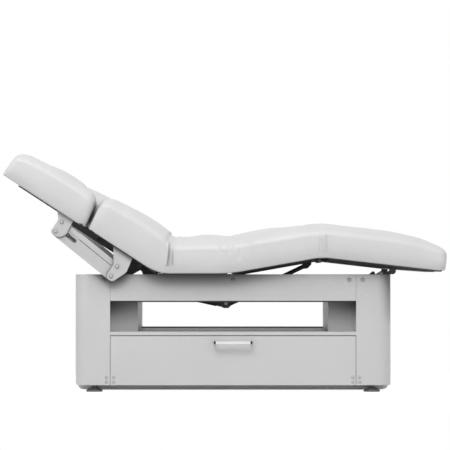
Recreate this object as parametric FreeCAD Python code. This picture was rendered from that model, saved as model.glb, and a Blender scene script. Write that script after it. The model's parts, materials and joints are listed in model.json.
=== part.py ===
import FreeCAD, Part
import math
import os

# Spa bed with a cabinet base, in millimetres.
# X runs along the bed, the head end is on the minus side. The drawer side looks along minus Y.
# Z is up from the floor. The bed is drawn flat first, then its sections turn to the shown pose.

# Base cabinet
base_centre_x = 36.5
base_length = 1424.0
base_width = 700.0
seam_gap = 0.8
panel_t = 18.0
shell_corner_r = 65.0
shell_end_length = 158.6
shell_bottom_z = 31.0
shell_height = 497.5
apron_height = 118.5
window_height = 139.6
shelf_t = 15.6
lip_height = 8.0
lip_t = 9.0
pillar_width = 121.0
pillar_recess = 100.0
notch_depth = 50.0
board_gap = 0.5

# Plinth and feet
plinth_end_inset = 2.0
plinth_side_inset = 94.0
plinth_z = 5.0
plinth_corner_r = 90.0
plinth_edge_r = 24.0
foot_end_inset = 86.0
foot_side_inset = 50.0
foot_pad_r = 37.0
foot_pad_h = 7.0
foot_cone_h = 16.0
foot_stem_r = 12.0

# Drawer and its handle
drawer_side_gap = 2.0
drawer_top_gap = 3.4
drawer_wall = 12.0
drawer_back_gap = 122.0
drawer_box_height = 150.0
drawer_floor_lift = 12.0
runner_height = 45.0
runner_t = 12.0
runner_lip = 3.0
fit_gap = 0.3
handle_length = 173.0
handle_bar = 12.0
handle_leg_w = 8.0
handle_reach = 30.0
handle_z = 222.5

# Screws
screw_head_r = 8.0
screw_head_h = 3.0
apron_screw_drop = 24.5
apron_screw_shares = (-1.0, 0.0, 1.0)
apron_screw_inset = 31.4
shell_screw_reach = 29.6
low_screw_inset = 15.9
low_screw_reach = 15.6
low_screw_lift = 15.6
low_screw_pitch = 20.7

# Steel frames
ring_tube = 40.0
ring_drop = 6.0
frame_side_gap = 5.0
beam_end_gap = 23.0
tube_h = 30.0
slim_rail_h = 12.0
tube_wall = 2.0
post_w = 30.0
rail_y = 130.0
rail_hole_r = 8.0
rail_hole_reach = 91.5
lug_t = 8.0

# Section boards and cushions, flat bed
bed_width = 800.0
cushion_rise = 5.5
board_t = 5.0
board_inset = 12.0
side_pull = 7.0
hinge_drop = 8.5
back_hinge_x = -308.0
thigh_hinge_x = 22.0
thigh_length = 418.4
calf_length = 551.4
back_full_length = 372.0
back_neck_length = 125.0
neck_gap = 7.0
headrest_length = 298.0
headrest_half_width = 170.0
armrest_gap = 10.0
armrest_end_gap = 18.0
armrest_length = 439.0
neck_hinge_drop = 8.0
seat_side_h = 122.0
seat_crown_h = 176.0
back_side_h = 150.0
back_crown_h = 194.0
back_end_crown_h = 168.0
neck_side_h = 132.0
neck_crown_h = 160.0
thigh_side_h = 118.0
thigh_crown_h = 163.0
calf_side_h = 108.0
calf_crown_h = 148.0
armrest_side_h = 116.0
armrest_crown_h = 146.0
shoulder_w = 95.0
small_shoulder_w = 55.0
free_end_r = 48.0
armrest_end_reach = 100.0

# Shown pose and travel, degrees
back_rest_deg = 33.0
back_top_deg = 60.0
thigh_rest_deg = 10.0
thigh_top_deg = 20.0
knee_ratio = -1.65
neck_up_deg = 8.0
fold_spare_deg = 2.0
fold_foot = 10.0
fold_clear = 0.6

# Drawing helpers


def vec(x, y, z):
    return FreeCAD.Vector(x, y, z)


def block(x0, x1, y0, y1, z0, z1):
    return Part.makeBox(x1 - x0, y1 - y0, z1 - z0, vec(x0, y0, z0))


def rod_x(x0, x1, y, z, radius):
    return Part.makeCylinder(radius, x1 - x0, vec(x0, y, z), vec(1, 0, 0))


def rod_y(x, z, y0, y1, radius):
    return Part.makeCylinder(radius, y1 - y0, vec(x, y0, z), vec(0, 1, 0))


def rod_z(x, y, z0, z1, radius):
    return Part.makeCylinder(radius, z1 - z0, vec(x, y, z0), vec(0, 0, 1))


def rounded_wire(points, radii, place):
    """Closed wire through flat points with each corner rounded by its own radius."""
    starts = []
    ends = []
    edges = []
    count = len(points)
    for i, radius in enumerate(radii):
        corner = place(*points[i])
        back = place(*points[i - 1]).sub(corner)
        ahead = place(*points[(i + 1) % count]).sub(corner)
        if radius == 0:
            starts.append(corner)
            ends.append(corner)
            continue
        half = back.getAngle(ahead) / 2
        back.normalize()
        ahead.normalize()
        cut = radius / math.tan(half)
        inward = back.add(ahead)
        inward.normalize()
        middle = corner.add(inward * (radius / math.sin(half) - radius))
        starts.append(corner.add(back * cut))
        ends.append(corner.add(ahead * cut))
        edges.append(Part.Arc(starts[-1], middle, ends[-1]).toShape())
    for i in range(count):
        follow = starts[(i + 1) % count]
        edges.append(Part.makeLine(ends[i], follow))
    return Part.Wire(Part.__sortEdges__(edges))


def plate_y(points, radii, y0, y1):
    """Plate with an outline of (x, z) points, standing between two Y planes."""
    wire = rounded_wire(points, radii, lambda a, b: vec(a, y0, b))
    return Part.Face(wire).extrude(vec(0, y1 - y0, 0))


def slab_z(points, radii, z0, z1):
    """Slab with an outline of (x, y) points, lying between two heights."""
    wire = rounded_wire(points, radii, lambda a, b: vec(a, b, z0))
    return Part.Face(wire).extrude(vec(0, 0, z1 - z0))


def rectangle(a0, a1, b0, b1):
    return [(a0, b0), (a1, b0), (a1, b1), (a0, b1)]


def mirror_y(shape):
    return shape.mirror(vec(0, 0, 0), vec(0, 1, 0))


def group(shapes):
    return Part.makeCompound(shapes)


def pair(shape):
    return group([shape, mirror_y(shape)])


def turned(shape, x, z, degrees):
    """Copy of a shape turned in the XZ plane, positive lifts its head side."""
    copy = shape.copy()
    copy.rotate(vec(x, 0, z), vec(0, 1, 0), degrees)
    return copy


def turned_point(point, x, z, degrees):
    angle = math.radians(degrees)
    dx = point[0] - x
    dz = point[1] - z
    across = dx * math.cos(angle) + dz * math.sin(angle)
    up = dz * math.cos(angle) - dx * math.sin(angle)
    return (x + across, z + up)


def save(name, shape):
    shape.exportStep(os.path.join("parts", name + ".step"))


# Places worked out from the sizes

shell_top_z = shell_bottom_z + shell_height
half_base = base_width / 2
inner_half = half_base - panel_t
seam_x = base_length / 2 - shell_end_length
apron_bottom_z = shell_top_z - apron_height
shelf_top_z = apron_bottom_z - window_height
shelf_bottom_z = shelf_top_z - shelf_t
window_half = seam_x - pillar_width
pillar_face_y = -half_base + pillar_recess
notch_half_width = half_base - shell_corner_r
plinth_half_width = half_base - plinth_side_inset
foot_x = base_length / 2 - foot_end_inset
foot_y = half_base - foot_side_inset
frame_outer_y = inner_half - frame_side_gap
beam_half_y = notch_half_width - beam_end_gap
half_bed = bed_width / 2
cushion_bottom_z = shell_top_z + cushion_rise
hinge_z = shell_top_z - hinge_drop
board_z = cushion_bottom_z - board_t
ring_bottom_z = apron_bottom_z - ring_drop
ring_top_z = ring_bottom_z + ring_tube
rail_bottom_z = board_z - tube_h
slim_bottom_z = board_z - slim_rail_h


def base_x(x):
    return base_centre_x + x


# Base cabinet


def end_shell(side):
    """Bent end panel: end wall, two rounded corners and short side walls."""
    outer_x = base_x(side * base_length / 2)
    inner_x = outer_x - side * panel_t
    start_x = base_x(side * seam_x)
    inner_r = shell_corner_r - panel_t
    points = [
        (start_x, -half_base), (outer_x, -half_base), (outer_x, half_base), (start_x, half_base),
        (start_x, inner_half), (inner_x, inner_half), (inner_x, -inner_half), (start_x, -inner_half),
    ]
    radii = [0, shell_corner_r, shell_corner_r, 0, 0, inner_r, inner_r, 0]
    shell = slab_z(points, radii, shell_bottom_z, shell_top_z)
    low_x = min(outer_x, inner_x) - panel_t
    high_x = max(outer_x, inner_x) + panel_t
    notch_z = shell_top_z - notch_depth
    notch = block(low_x, high_x, -notch_half_width, notch_half_width, notch_z, shell_top_z + panel_t)
    return shell.cut(notch)


def apron():
    return block(base_x(-seam_x) + seam_gap, base_x(seam_x) - seam_gap, -half_base, -inner_half,
                 apron_bottom_z, shell_top_z)


def pillar_box(side):
    """Boxed post beside the open window: a web across the bed, a rear face and a front face set back."""
    web_inner = base_x(side * window_half)
    web_outer = base_x(side * (window_half + panel_t))
    seam = base_x(side * seam_x)
    cheek_outer = base_x(side * (seam_x + panel_t))
    rear = block(min(web_inner, seam), max(web_inner, seam), inner_half, half_base,
                 shelf_top_z, apron_bottom_z)
    web = block(min(web_inner, web_outer), max(web_inner, web_outer), pillar_face_y, inner_half,
                shelf_top_z, ring_bottom_z)
    front = block(min(web_inner, cheek_outer), max(web_inner, cheek_outer), pillar_face_y,
                  pillar_face_y + panel_t, shelf_top_z, ring_bottom_z)
    cheek = block(min(seam, cheek_outer), max(seam, cheek_outer), -inner_half, pillar_face_y + panel_t,
                  shelf_top_z, ring_bottom_z)
    return rear.fuse(web).fuse(front).fuse(cheek).removeSplitter()


def shelf_board():
    shelf = block(base_x(-seam_x), base_x(seam_x), -half_base, half_base, shelf_bottom_z, shelf_top_z)
    lip = block(base_x(-window_half), base_x(window_half), half_base - lip_t, half_base,
                shelf_top_z, shelf_top_z + lip_height)
    return shelf.fuse(lip).removeSplitter()


def rear_lower_panel():
    return block(base_x(-seam_x), base_x(seam_x), inner_half, half_base, shell_bottom_z, shelf_bottom_z)


def bottom_board():
    end = base_length / 2 - panel_t
    corner = shell_corner_r - panel_t
    outline = rectangle(base_x(-end), base_x(end), -inner_half, inner_half)
    return slab_z(outline, [corner] * 4, shell_bottom_z, shell_bottom_z + panel_t)


def plinth_tray():
    end = base_length / 2 - plinth_end_inset
    outline = rectangle(base_x(-end), base_x(end), -plinth_half_width, plinth_half_width)
    tray = slab_z(outline, [plinth_corner_r] * 4, plinth_z, shell_bottom_z)
    low = [edge for edge in tray.Edges if edge.BoundBox.ZMax < plinth_z + board_gap]
    return tray.makeFillet(plinth_edge_r, low)


def feet():
    """Round pad, cone and stem of each levelling foot, one turned solid."""
    solids = []
    cone_top = foot_pad_h + foot_cone_h
    for x in (base_x(-foot_x), base_x(foot_x)):
        for y in (-foot_y, foot_y):
            pad = rod_z(x, y, 0, foot_pad_h, foot_pad_r)
            cone = Part.makeCone(foot_pad_r, foot_stem_r, foot_cone_h, vec(x, y, foot_pad_h))
            stem = rod_z(x, y, cone_top, shell_bottom_z, foot_stem_r)
            solids.append(pad.fuse(cone).fuse(stem))
    return group(solids)


def domed_screw(x, z, face_y, out):
    """Shallow domed head of a screw on a face, drawn without its shank."""
    edge_r = screw_head_r - screw_head_h
    return Part.makeCone(screw_head_r, edge_r, screw_head_h, vec(x, face_y, z), vec(0, out, 0))


def base_screws():
    """Domed heads along the apron ends and low on the end shells, both sides."""
    top_z = shell_top_z - apron_screw_drop
    low_z = shell_bottom_z + low_screw_lift
    top_x = seam_x - apron_screw_inset
    places = [(share * top_x, top_z) for share in apron_screw_shares]
    for side in (-1, 1):
        places.append((side * (seam_x + shell_screw_reach), top_z))
        places.append((side * (seam_x + low_screw_reach), low_z))
        places.append((side * (seam_x + low_screw_reach), low_z + low_screw_pitch))
    heads = [domed_screw(base_x(x), z, -half_base, -1) for x, z in places]
    return pair(group(heads))


# Drawer

drawer_front_half = seam_x - drawer_side_gap
drawer_top_z = shelf_bottom_z - drawer_top_gap
drawer_box_half = window_half
drawer_box_z = shell_bottom_z + panel_t + drawer_floor_lift
drawer_box_top = drawer_box_z + drawer_box_height
drawer_back_y = inner_half - drawer_back_gap


def drawer_front():
    return block(base_x(-drawer_front_half), base_x(drawer_front_half), -half_base, -inner_half,
                 shell_bottom_z, drawer_top_z)


def drawer_box():
    """Open tray behind the drawer front."""
    outside = block(base_x(-drawer_box_half), base_x(drawer_box_half), -inner_half, drawer_back_y,
                    drawer_box_z, drawer_box_top)
    inside = block(base_x(drawer_wall - drawer_box_half), base_x(drawer_box_half - drawer_wall),
                   drawer_wall - inner_half, drawer_back_y - drawer_wall,
                   drawer_box_z + drawer_wall, drawer_box_top + drawer_wall)
    return outside.cut(inside)


def runner_channel():
    """Fixed runner: an upright strip with a lip below, on a wide foot to the bottom board."""
    x0 = base_x(drawer_box_half + runner_t + 2 * fit_gap)
    x1 = x0 + runner_t
    z0 = shell_bottom_z + panel_t
    z1 = drawer_box_z + runner_height
    strip = block(x0, x1, -inner_half + fit_gap, drawer_back_y, z0, z1)
    groove_z = (drawer_box_z + z1) / 2
    groove = block(x0 - runner_t, x0 + runner_lip, -half_base, drawer_back_y + runner_t,
                   groove_z - runner_lip - fit_gap, groove_z + runner_lip + fit_gap)
    return strip.cut(groove)


def runner_slide():
    """Moving runner on the drawer side, its rib rides in the fixed groove."""
    x0 = base_x(drawer_box_half)
    x1 = x0 + runner_t
    z1 = drawer_box_z + runner_height
    groove_z = (drawer_box_z + z1) / 2
    strip = block(x0, x1, -inner_half + fit_gap, drawer_back_y, drawer_box_z, z1)
    rib_end = x1 + 2 * fit_gap + runner_lip - fit_gap
    rib = block(x1, rib_end, -inner_half + fit_gap, drawer_back_y,
                groove_z - runner_lip, groove_z + runner_lip)
    return strip.fuse(rib).removeSplitter()


def both_ends(shape):
    """A shape and its mirror about the middle of the base."""
    return group([shape, shape.mirror(vec(base_centre_x, 0, 0), vec(1, 0, 0))])


def drawer_handle():
    """Flat bow handle: a bar on two square legs."""
    half = handle_length / 2
    front = -half_base - handle_reach
    bar_z0 = handle_z - handle_bar / 2
    bar_z1 = handle_z + handle_bar / 2
    bar = block(base_x(-half), base_x(half), front, front + handle_leg_w, bar_z0, bar_z1)
    leg = block(base_x(-half), base_x(handle_leg_w - half), front, -half_base, bar_z0, bar_z1)
    far = leg.mirror(vec(base_centre_x, 0, 0), vec(1, 0, 0))
    return bar.fuse(leg).fuse(far).removeSplitter()


def drawer_screws():
    low_z = shell_bottom_z + low_screw_lift
    heads = []
    for side in (-1, 1):
        for lift in (0, low_screw_pitch):
            heads.append(domed_screw(base_x(side * (seam_x - low_screw_inset)), low_z + lift, -half_base, -1))
    return group(heads)

# Cushions, drawn on the flat bed

shoulder_rise_share = 0.74
armrest_shoulder_share = 0.25
shoulder_mid_share = 0.28
shoulder_mid_rise_share = 0.47
long_end_shares = ((0.0, 0.40, 0.60), (0.07, 0.12, 0.77), (0.42, 0.0, 0.89), (1.0, 0.0, 0.95))
free_end_shares = ((0.0, 0.55, 0.72), (0.12, 0.25, 0.87), (0.42, 0.07, 0.97), (1.0, 0.0, 1.0))


def cushion_wire(x, lean, y0, y1, side_h, crown_h, shoulder, inset=0.0, height_share=1.0):
    """Cross section of a cushion: flat base, drawn-in sides, rolled shoulders and a crown."""
    slope = math.tan(math.radians(lean))
    rise = (crown_h - side_h) * height_share
    side = side_h * height_share
    crown = side + rise
    left = y0 + inset
    right = y1 - inset
    middle = (left + right) / 2
    half_pull = side_pull / 2

    def place(y, height):
        return vec(x + height * slope, y, cushion_bottom_z + height)

    def shoulder_points(edge, inward):
        start = place(edge + inward * half_pull, side)
        bend = place(edge + inward * (half_pull + shoulder * shoulder_mid_share),
                     side + rise * shoulder_mid_rise_share)
        end = place(edge + inward * shoulder, side + rise * shoulder_rise_share)
        return start, bend, end

    low_left = place(left + side_pull, 0)
    low_right = place(right - side_pull, 0)
    left_start, left_bend, left_end = shoulder_points(left, 1)
    right_start, right_bend, right_end = shoulder_points(right, -1)
    edges = [
        Part.makeLine(low_left, low_right),
        Part.Arc(low_right, place(right, side / 2), right_start).toShape(),
        Part.Arc(right_start, right_bend, right_end).toShape(),
        Part.Arc(right_end, place(middle, crown), left_end).toShape(),
        Part.Arc(left_end, left_bend, left_start).toShape(),
        Part.Arc(left_start, place(left, side / 2), low_left).toShape(),
    ]
    return Part.Wire(edges)


def free_end(x, inward, y0, y1, side_h, crown_h, shoulder, reach=free_end_r, shares=free_end_shares):
    """Sections that round off an end of a cushion, from the end inward."""
    wires = []
    for along, inset, share in shares:
        wires.append(cushion_wire(x + inward * along * reach, 0, y0, y1, side_h, crown_h,
                                  shoulder, inset * free_end_r, share))
    return wires


def loft(wires):
    """Solid through cross sections, with straight runs from each to the next."""
    return Part.makeLoft(wires, True, True)


# Ends of the cushions at the folds: foot distance from the hinge and lean of the end face

waist_lean = (back_top_deg + fold_spare_deg) / 2
hip_lean = (thigh_top_deg + fold_spare_deg) / 2
waist_foot_seat = fold_foot + side_pull / 2
seat_head_x = back_hinge_x + waist_foot_seat
back_foot_x = back_hinge_x - fold_foot
seat_foot_x = thigh_hinge_x - fold_foot
thigh_head_x = thigh_hinge_x + fold_foot
knee_x = thigh_hinge_x + thigh_length
thigh_foot_x = knee_x - fold_foot / 2
calf_head_x = knee_x + fold_foot / 2
calf_foot_x = knee_x + calf_length
back_end_x = back_hinge_x - back_full_length
neck_end_x = back_end_x - back_neck_length
headrest_start_x = neck_end_x - neck_gap
headrest_end_x = headrest_start_x - headrest_length
neck_hinge_x = (neck_end_x + headrest_start_x) / 2
neck_hinge_z = hinge_z - neck_hinge_drop
armrest_start_x = back_end_x - armrest_end_gap
armrest_end_x = armrest_start_x - armrest_length
armrest_inner_y = headrest_half_width + armrest_gap
armrest_shoulder_w = (half_bed - armrest_inner_y) * armrest_shoulder_share


def waist_wires():
    seat_end = cushion_wire(seat_head_x, waist_lean, -half_bed, half_bed, seat_side_h, seat_crown_h,
                            shoulder_w)
    back_end = cushion_wire(back_foot_x, -waist_lean, -half_bed, half_bed, back_side_h, back_crown_h,
                            shoulder_w)
    return seat_end, back_end


def hip_wires():
    seat_end = cushion_wire(seat_foot_x, -hip_lean, -half_bed, half_bed, seat_side_h, seat_crown_h,
                            shoulder_w)
    thigh_end = cushion_wire(thigh_head_x, hip_lean, -half_bed, half_bed, thigh_side_h,
                             seat_crown_h, shoulder_w)
    return seat_end, thigh_end


def knee_wires():
    thigh_end = cushion_wire(thigh_foot_x, 0, -half_bed, half_bed, thigh_side_h, thigh_crown_h,
                             shoulder_w)
    calf_end = cushion_wire(calf_head_x, 0, -half_bed, half_bed, thigh_side_h, thigh_crown_h,
                            shoulder_w)
    return thigh_end, calf_end


def seat_cushion():
    middle_x = (seat_head_x + seat_foot_x) / 2
    middle = cushion_wire(middle_x, 0, -half_bed, half_bed, seat_side_h, seat_crown_h, shoulder_w)
    return loft([waist_wires()[0], middle, hip_wires()[0]])


def back_cushion():
    """Full-width back pad with the narrow neck that reaches up between the armrests."""
    middle_x = (back_foot_x + back_end_x) / 2
    middle = cushion_wire(middle_x, 0, -half_bed, half_bed, back_side_h, back_crown_h, shoulder_w)
    end = free_end(back_end_x, 1, -half_bed, half_bed, back_side_h, back_end_crown_h, shoulder_w)
    main = loft(end + [middle, waist_wires()[1]])
    half = headrest_half_width
    start = back_end_x + free_end_r
    neck = loft([
        cushion_wire(start, 0, -half, half, neck_side_h, neck_crown_h, small_shoulder_w),
        cushion_wire(back_end_x, 0, -half, half, neck_side_h, neck_crown_h, small_shoulder_w),
        cushion_wire(neck_end_x, neck_up_deg / 2, -half, half, neck_side_h, neck_crown_h, small_shoulder_w),
    ])
    return main.fuse(neck)


def headrest_cushion():
    half = headrest_half_width
    start = cushion_wire(headrest_start_x, -neck_up_deg / 2, -half, half, neck_side_h, neck_crown_h,
                         small_shoulder_w)
    lift = cushion_wire(headrest_start_x - free_end_r, 0, -half, half, neck_side_h, neck_crown_h,
                        small_shoulder_w)
    end = free_end(headrest_end_x, 1, -half, half, armrest_side_h, armrest_crown_h, small_shoulder_w)
    return loft(end + [lift, start])


def armrest_cushion():
    """Armrest pad of the front side, rounded at both ends."""
    y0 = -half_bed
    y1 = -armrest_inner_y
    outer = free_end(armrest_end_x, 1, y0, y1, armrest_side_h, armrest_crown_h, armrest_shoulder_w,
                     armrest_end_reach, long_end_shares)
    inner = free_end(armrest_start_x, -1, y0, y1, armrest_side_h, armrest_crown_h, armrest_shoulder_w)
    return loft(outer + inner[::-1])


def thigh_cushion():
    middle_x = (thigh_head_x + thigh_foot_x) / 2
    middle = cushion_wire(middle_x, 0, -half_bed, half_bed, thigh_side_h, thigh_crown_h, shoulder_w)
    return loft([hip_wires()[1], middle, knee_wires()[0]])


def calf_cushion():
    middle_x = (calf_head_x + calf_foot_x) / 2
    middle = cushion_wire(middle_x, 0, -half_bed, half_bed, calf_side_h, calf_crown_h, shoulder_w)
    end = free_end(calf_foot_x, -1, -half_bed, half_bed, calf_side_h, calf_crown_h, shoulder_w)
    return loft([knee_wires()[1], middle] + end[::-1])


def board(x0, x1, y0, y1):
    return block(x0, x1, y0, y1, board_z, cushion_bottom_z)


# Fixed steel work

ring_y0 = inner_half - ring_tube
beam_w = 20.0
seat_post_head_x = -230.0
seat_post_foot_x = -60.0
seat_beam_head_x = -245.0
seat_beam_foot_x = -25.0
rail_half_t = 10.0
lug_gap = 2.0
eye_r = 11.5
hinge_pin_r = 5.0
hinge_head_r = 8.0
hinge_head_h = 3.0
rail_neck = 16.0


def top_frame():
    """Channel frame round the inside of the aprons, open to the inside."""
    x0 = base_x(-seam_x)
    x1 = base_x(seam_x)
    wall = tube_wall
    outside = block(x0, x1, -inner_half, inner_half, ring_bottom_z, ring_top_z)
    opening = block(x0 + ring_tube, x1 - ring_tube, -ring_y0, ring_y0,
                    ring_bottom_z - wall, ring_top_z + wall)
    channel = block(x0 + wall, x1 - wall, wall - inner_half, inner_half - wall,
                    ring_bottom_z + wall, ring_top_z - wall)
    return outside.cut(opening).cut(channel)


def seat_frame():
    """Four posts on the channel frame, two cross beams and two side beams."""
    solids = []
    for x in (seat_post_head_x, seat_post_foot_x):
        post = block(x - post_w / 2, x + post_w / 2, -frame_outer_y, post_w - frame_outer_y,
                     ring_top_z, rail_bottom_z)
        solids.append(post)
        solids.append(mirror_y(post))
    frame = block(seat_beam_head_x, seat_beam_foot_x + beam_w, -frame_outer_y, frame_outer_y,
                  rail_bottom_z, board_z)
    opening = block(seat_beam_head_x + beam_w, seat_beam_foot_x, post_w - frame_outer_y,
                    frame_outer_y - post_w, rail_bottom_z - beam_w, board_z + beam_w)
    frame = frame.cut(opening)
    for solid in solids:
        frame = frame.fuse(solid)
    for lug in seat_lugs():
        frame = frame.fuse(lug)
    return frame.removeSplitter()


def eye_arm(x, z, foot_x, y0, y1, hole_r, bottom_z):
    """Flat arm with a round eye, reaching from a beam to a hinge."""
    side = 1 if foot_x > x else -1
    neck_x = x + side * rail_neck
    shoulder_z = z - eye_r
    points = [(foot_x, bottom_z), (neck_x, bottom_z), (x, shoulder_z), (x, z),
              (neck_x, board_z), (foot_x, board_z)]
    arm = plate_y(points, [0] * len(points), y0, y1)
    eye = rod_y(x, z, y0, y1, eye_r)
    return arm.fuse(eye).cut(rod_y(x, z, y0 - lug_t, y1 + lug_t, hole_r)).removeSplitter()


def side_lugs(x, z, foot_x, bottom_z):
    """Two lugs at each side of the bed that hold a rail eye between them."""
    hole = hinge_pin_r + fit_gap
    inner = rail_y - rail_half_t - lug_gap
    outer = rail_y + rail_half_t + lug_gap
    lugs = [eye_arm(x, z, foot_x, inner - lug_t, inner, hole, bottom_z),
            eye_arm(x, z, foot_x, outer, outer + lug_t, hole, bottom_z)]
    return lugs + [mirror_y(lug) for lug in lugs]


def seat_lugs():
    return (side_lugs(back_hinge_x, hinge_z, seat_beam_head_x + beam_w / 2, rail_bottom_z)
            + side_lugs(thigh_hinge_x, hinge_z, seat_beam_foot_x + beam_w / 2, rail_bottom_z))


def hinge_pins(x, z):
    """Headed pins through both rail hinges of a joint."""
    y0 = rail_y - rail_half_t - lug_gap - lug_t - fit_gap
    y1 = rail_y + rail_half_t + lug_gap + lug_t + fit_gap
    pin = rod_y(x, z, y0, y1, hinge_pin_r)
    pin = pin.fuse(rod_y(x, z, y0 - hinge_head_h, y0, hinge_head_r))
    pin = pin.fuse(rod_y(x, z, y1, y1 + hinge_head_h, hinge_head_r))
    return [pin, mirror_y(pin)]


def rail(x0, z0, x1, z1, bottom_z):
    """Long rail with a hinge eye at each end that has one."""
    low_x = x0 + rail_neck
    high_x = x1 - rail_neck
    points = [(x0, z0), (x0, z0 - eye_r), (low_x, bottom_z), (high_x, bottom_z),
              (x1, z1 - eye_r), (x1, z1), (high_x, board_z), (low_x, board_z)]
    body = plate_y(points, [0] * len(points), rail_y - rail_half_t, rail_y + rail_half_t)
    for x, z in ((x0, z0), (x1, z1)):
        body = body.fuse(rod_y(x, z, rail_y - rail_half_t, rail_y + rail_half_t, eye_r))
    for x, z in ((x0, z0), (x1, z1)):
        body = body.cut(rod_y(x, z, rail_y - lug_t * 2, rail_y + lug_t * 2, hinge_pin_r + fit_gap))
    return body


# Actuators

actuator_x = 4.65
actuator_drop = 9.7
actuator_z = ring_bottom_z - actuator_drop
actuator_y = 35.0
gear_half_w = 24.0
gear_half_h = 20.0
gear_back = 20.0
gear_front = 62.0
motor_r = 22.0
motor_offset = 46.0
motor_start = 42.0
motor_end = 156.0
tube_r = 18.0
tube_bore_r = 10.6
rod_r = 10.0
tube_end = 262.0
tube_floor = 130.0
rod_inner_end = 196.0
rod_eye_r = 13.0
rod_eye_half_w = 8.0
bracket_t = 5.0
bracket_clear = 2.0
beam_x0 = -30.0
beam_x1 = 10.0
beam_h = 12.0
back_pin_drop = 61.0
back_pin_offset = 2.1
back_eye_spare = 9.0
lever_t = 8.0
lever_gap = 3.0
thigh_lug_x = 351.5
thigh_lug_drop = 13.9
leg_eye_spare = 2.5
open_pin_r = 6.0

back_pin = (back_hinge_x - back_pin_offset, hinge_z - back_pin_drop)
back_pin_rest = turned_point(back_pin, back_hinge_x, hinge_z, back_rest_deg)
leg_pin = (thigh_hinge_x + thigh_lug_x, hinge_z - thigh_lug_drop)
leg_pin_rest = turned_point(leg_pin, thigh_hinge_x, hinge_z, -thigh_rest_deg)


def actuator_bracket():
    """Cross beam on the channel frame with hanging plates for both actuators."""
    beam = block(beam_x0, beam_x1, -frame_outer_y, frame_outer_y, ring_top_z, ring_top_z + beam_h)
    inner_y = actuator_y - gear_half_w - bracket_clear
    outer_y = actuator_y + gear_half_w + bracket_clear
    for y0 in (-outer_y - bracket_t, -inner_y, inner_y - bracket_t, outer_y):
        foot = gear_back
        points = [(beam_x0, ring_top_z), (actuator_x - foot, actuator_z - gear_half_h),
                  (actuator_x + foot, actuator_z - gear_half_h), (beam_x1 + foot / 2, ring_top_z)]
        plate = plate_y(points, [0, foot / 2, foot / 2, 0], y0, y0 + bracket_t)
        beam = beam.fuse(plate)
    hole = rod_y(actuator_x, actuator_z, -outer_y * 2, outer_y * 2, hinge_pin_r + fit_gap)
    return beam.cut(hole).removeSplitter()


def actuator_pins():
    inner_y = actuator_y - gear_half_w - bracket_clear - bracket_t
    outer_y = actuator_y + gear_half_w + bracket_clear + bracket_t
    pin = rod_y(actuator_x, actuator_z, inner_y + fit_gap, outer_y + fit_gap, hinge_pin_r)
    head = rod_y(actuator_x, actuator_z, outer_y + fit_gap, outer_y + hinge_head_h, hinge_head_r)
    return pair(pin.fuse(head))


def actuator_housing(side):
    """Gearbox, side motor and guide tube, drawn along plus X from its pivot."""
    gear = block(-gear_back, gear_front, -gear_half_w, gear_half_w, -gear_half_h, gear_half_h)
    upright = [edge for edge in gear.Edges if edge.BoundBox.YLength > gear_half_w]
    gear = gear.makeFillet(gear_half_h / 2, upright)
    arm_y = side * motor_offset
    arm = block(motor_start, gear_front, min(0, arm_y), max(0, arm_y), -gear_half_h, gear_half_h)
    motor = rod_x(motor_start, motor_end, arm_y, 0, motor_r)
    tube = rod_x(gear_front, tube_end, 0, 0, tube_r)
    body = gear.fuse(arm).fuse(motor).fuse(tube)
    body = body.cut(rod_x(tube_floor, tube_end + tube_r, 0, 0, tube_bore_r))
    eye = rod_y(0, 0, -gear_half_w * 2, gear_half_w * 2, hinge_pin_r + fit_gap)
    return body.cut(eye).removeSplitter()


def actuator_rod(length, hole_r):
    """Push rod with a cross eye, its length is from the housing pivot to the eye."""
    shaft = rod_x(rod_inner_end, length, 0, 0, rod_r)
    eye = rod_y(length, 0, -rod_eye_half_w, rod_eye_half_w, rod_eye_r)
    hole = rod_y(length, 0, -rod_eye_r, rod_eye_r, hole_r)
    return shaft.fuse(eye).cut(hole).removeSplitter()


def aim(shape, target, y):
    """Set an actuator piece on its bracket and point it at its pin."""
    dx = target[0] - actuator_x
    dz = target[1] - actuator_z
    placed = shape.copy()
    placed.rotate(vec(0, 0, 0), vec(0, 1, 0), -math.degrees(math.atan2(dz, dx)))
    placed.translate(vec(actuator_x, y, actuator_z))
    return placed


def rest_length(target):
    return math.hypot(target[0] - actuator_x, target[1] - actuator_z)


box_x = 300.0
box_length = 190.0
box_depth = 90.0
box_height = 42.0
box_edge_r = 6.0


def control_box():
    """Drive control box, screwed on the rear run of the channel frame."""
    y1 = inner_half - tube_wall
    box = block(box_x, box_x + box_length, y1 - box_depth, y1, ring_top_z, ring_top_z + box_height)
    upright = [edge for edge in box.Edges if edge.BoundBox.ZLength > box_edge_r]
    return box.makeFillet(box_edge_r, upright)


# Backrest

back_beams_x = (-400.0, -640.0)
lever_reach = 45.0
prop_drop = 76.0
prop_reach = 49.0
prop_bolt_r = 7.0
carrier_inset = 28.5
flange_w = 20.0


def lever_plate(y0):
    """Lever from the first cross beam down to the actuator pin."""
    beam_x = back_beams_x[0]
    x, z = back_pin
    top = board_z - beam_h
    points = [(beam_x - rod_eye_r, top), (beam_x + lever_reach, top), (x + eye_r * 2, z),
              (x, z - eye_r * 2), (x - eye_r * 2, z)]
    radii = [0, eye_r, eye_r, eye_r, eye_r]
    hole = rod_y(x, z, y0 - lever_t, y0 + lever_t * 2, open_pin_r + back_eye_spare)
    return plate_y(points, radii, y0, y0 + lever_t).cut(hole)


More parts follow.
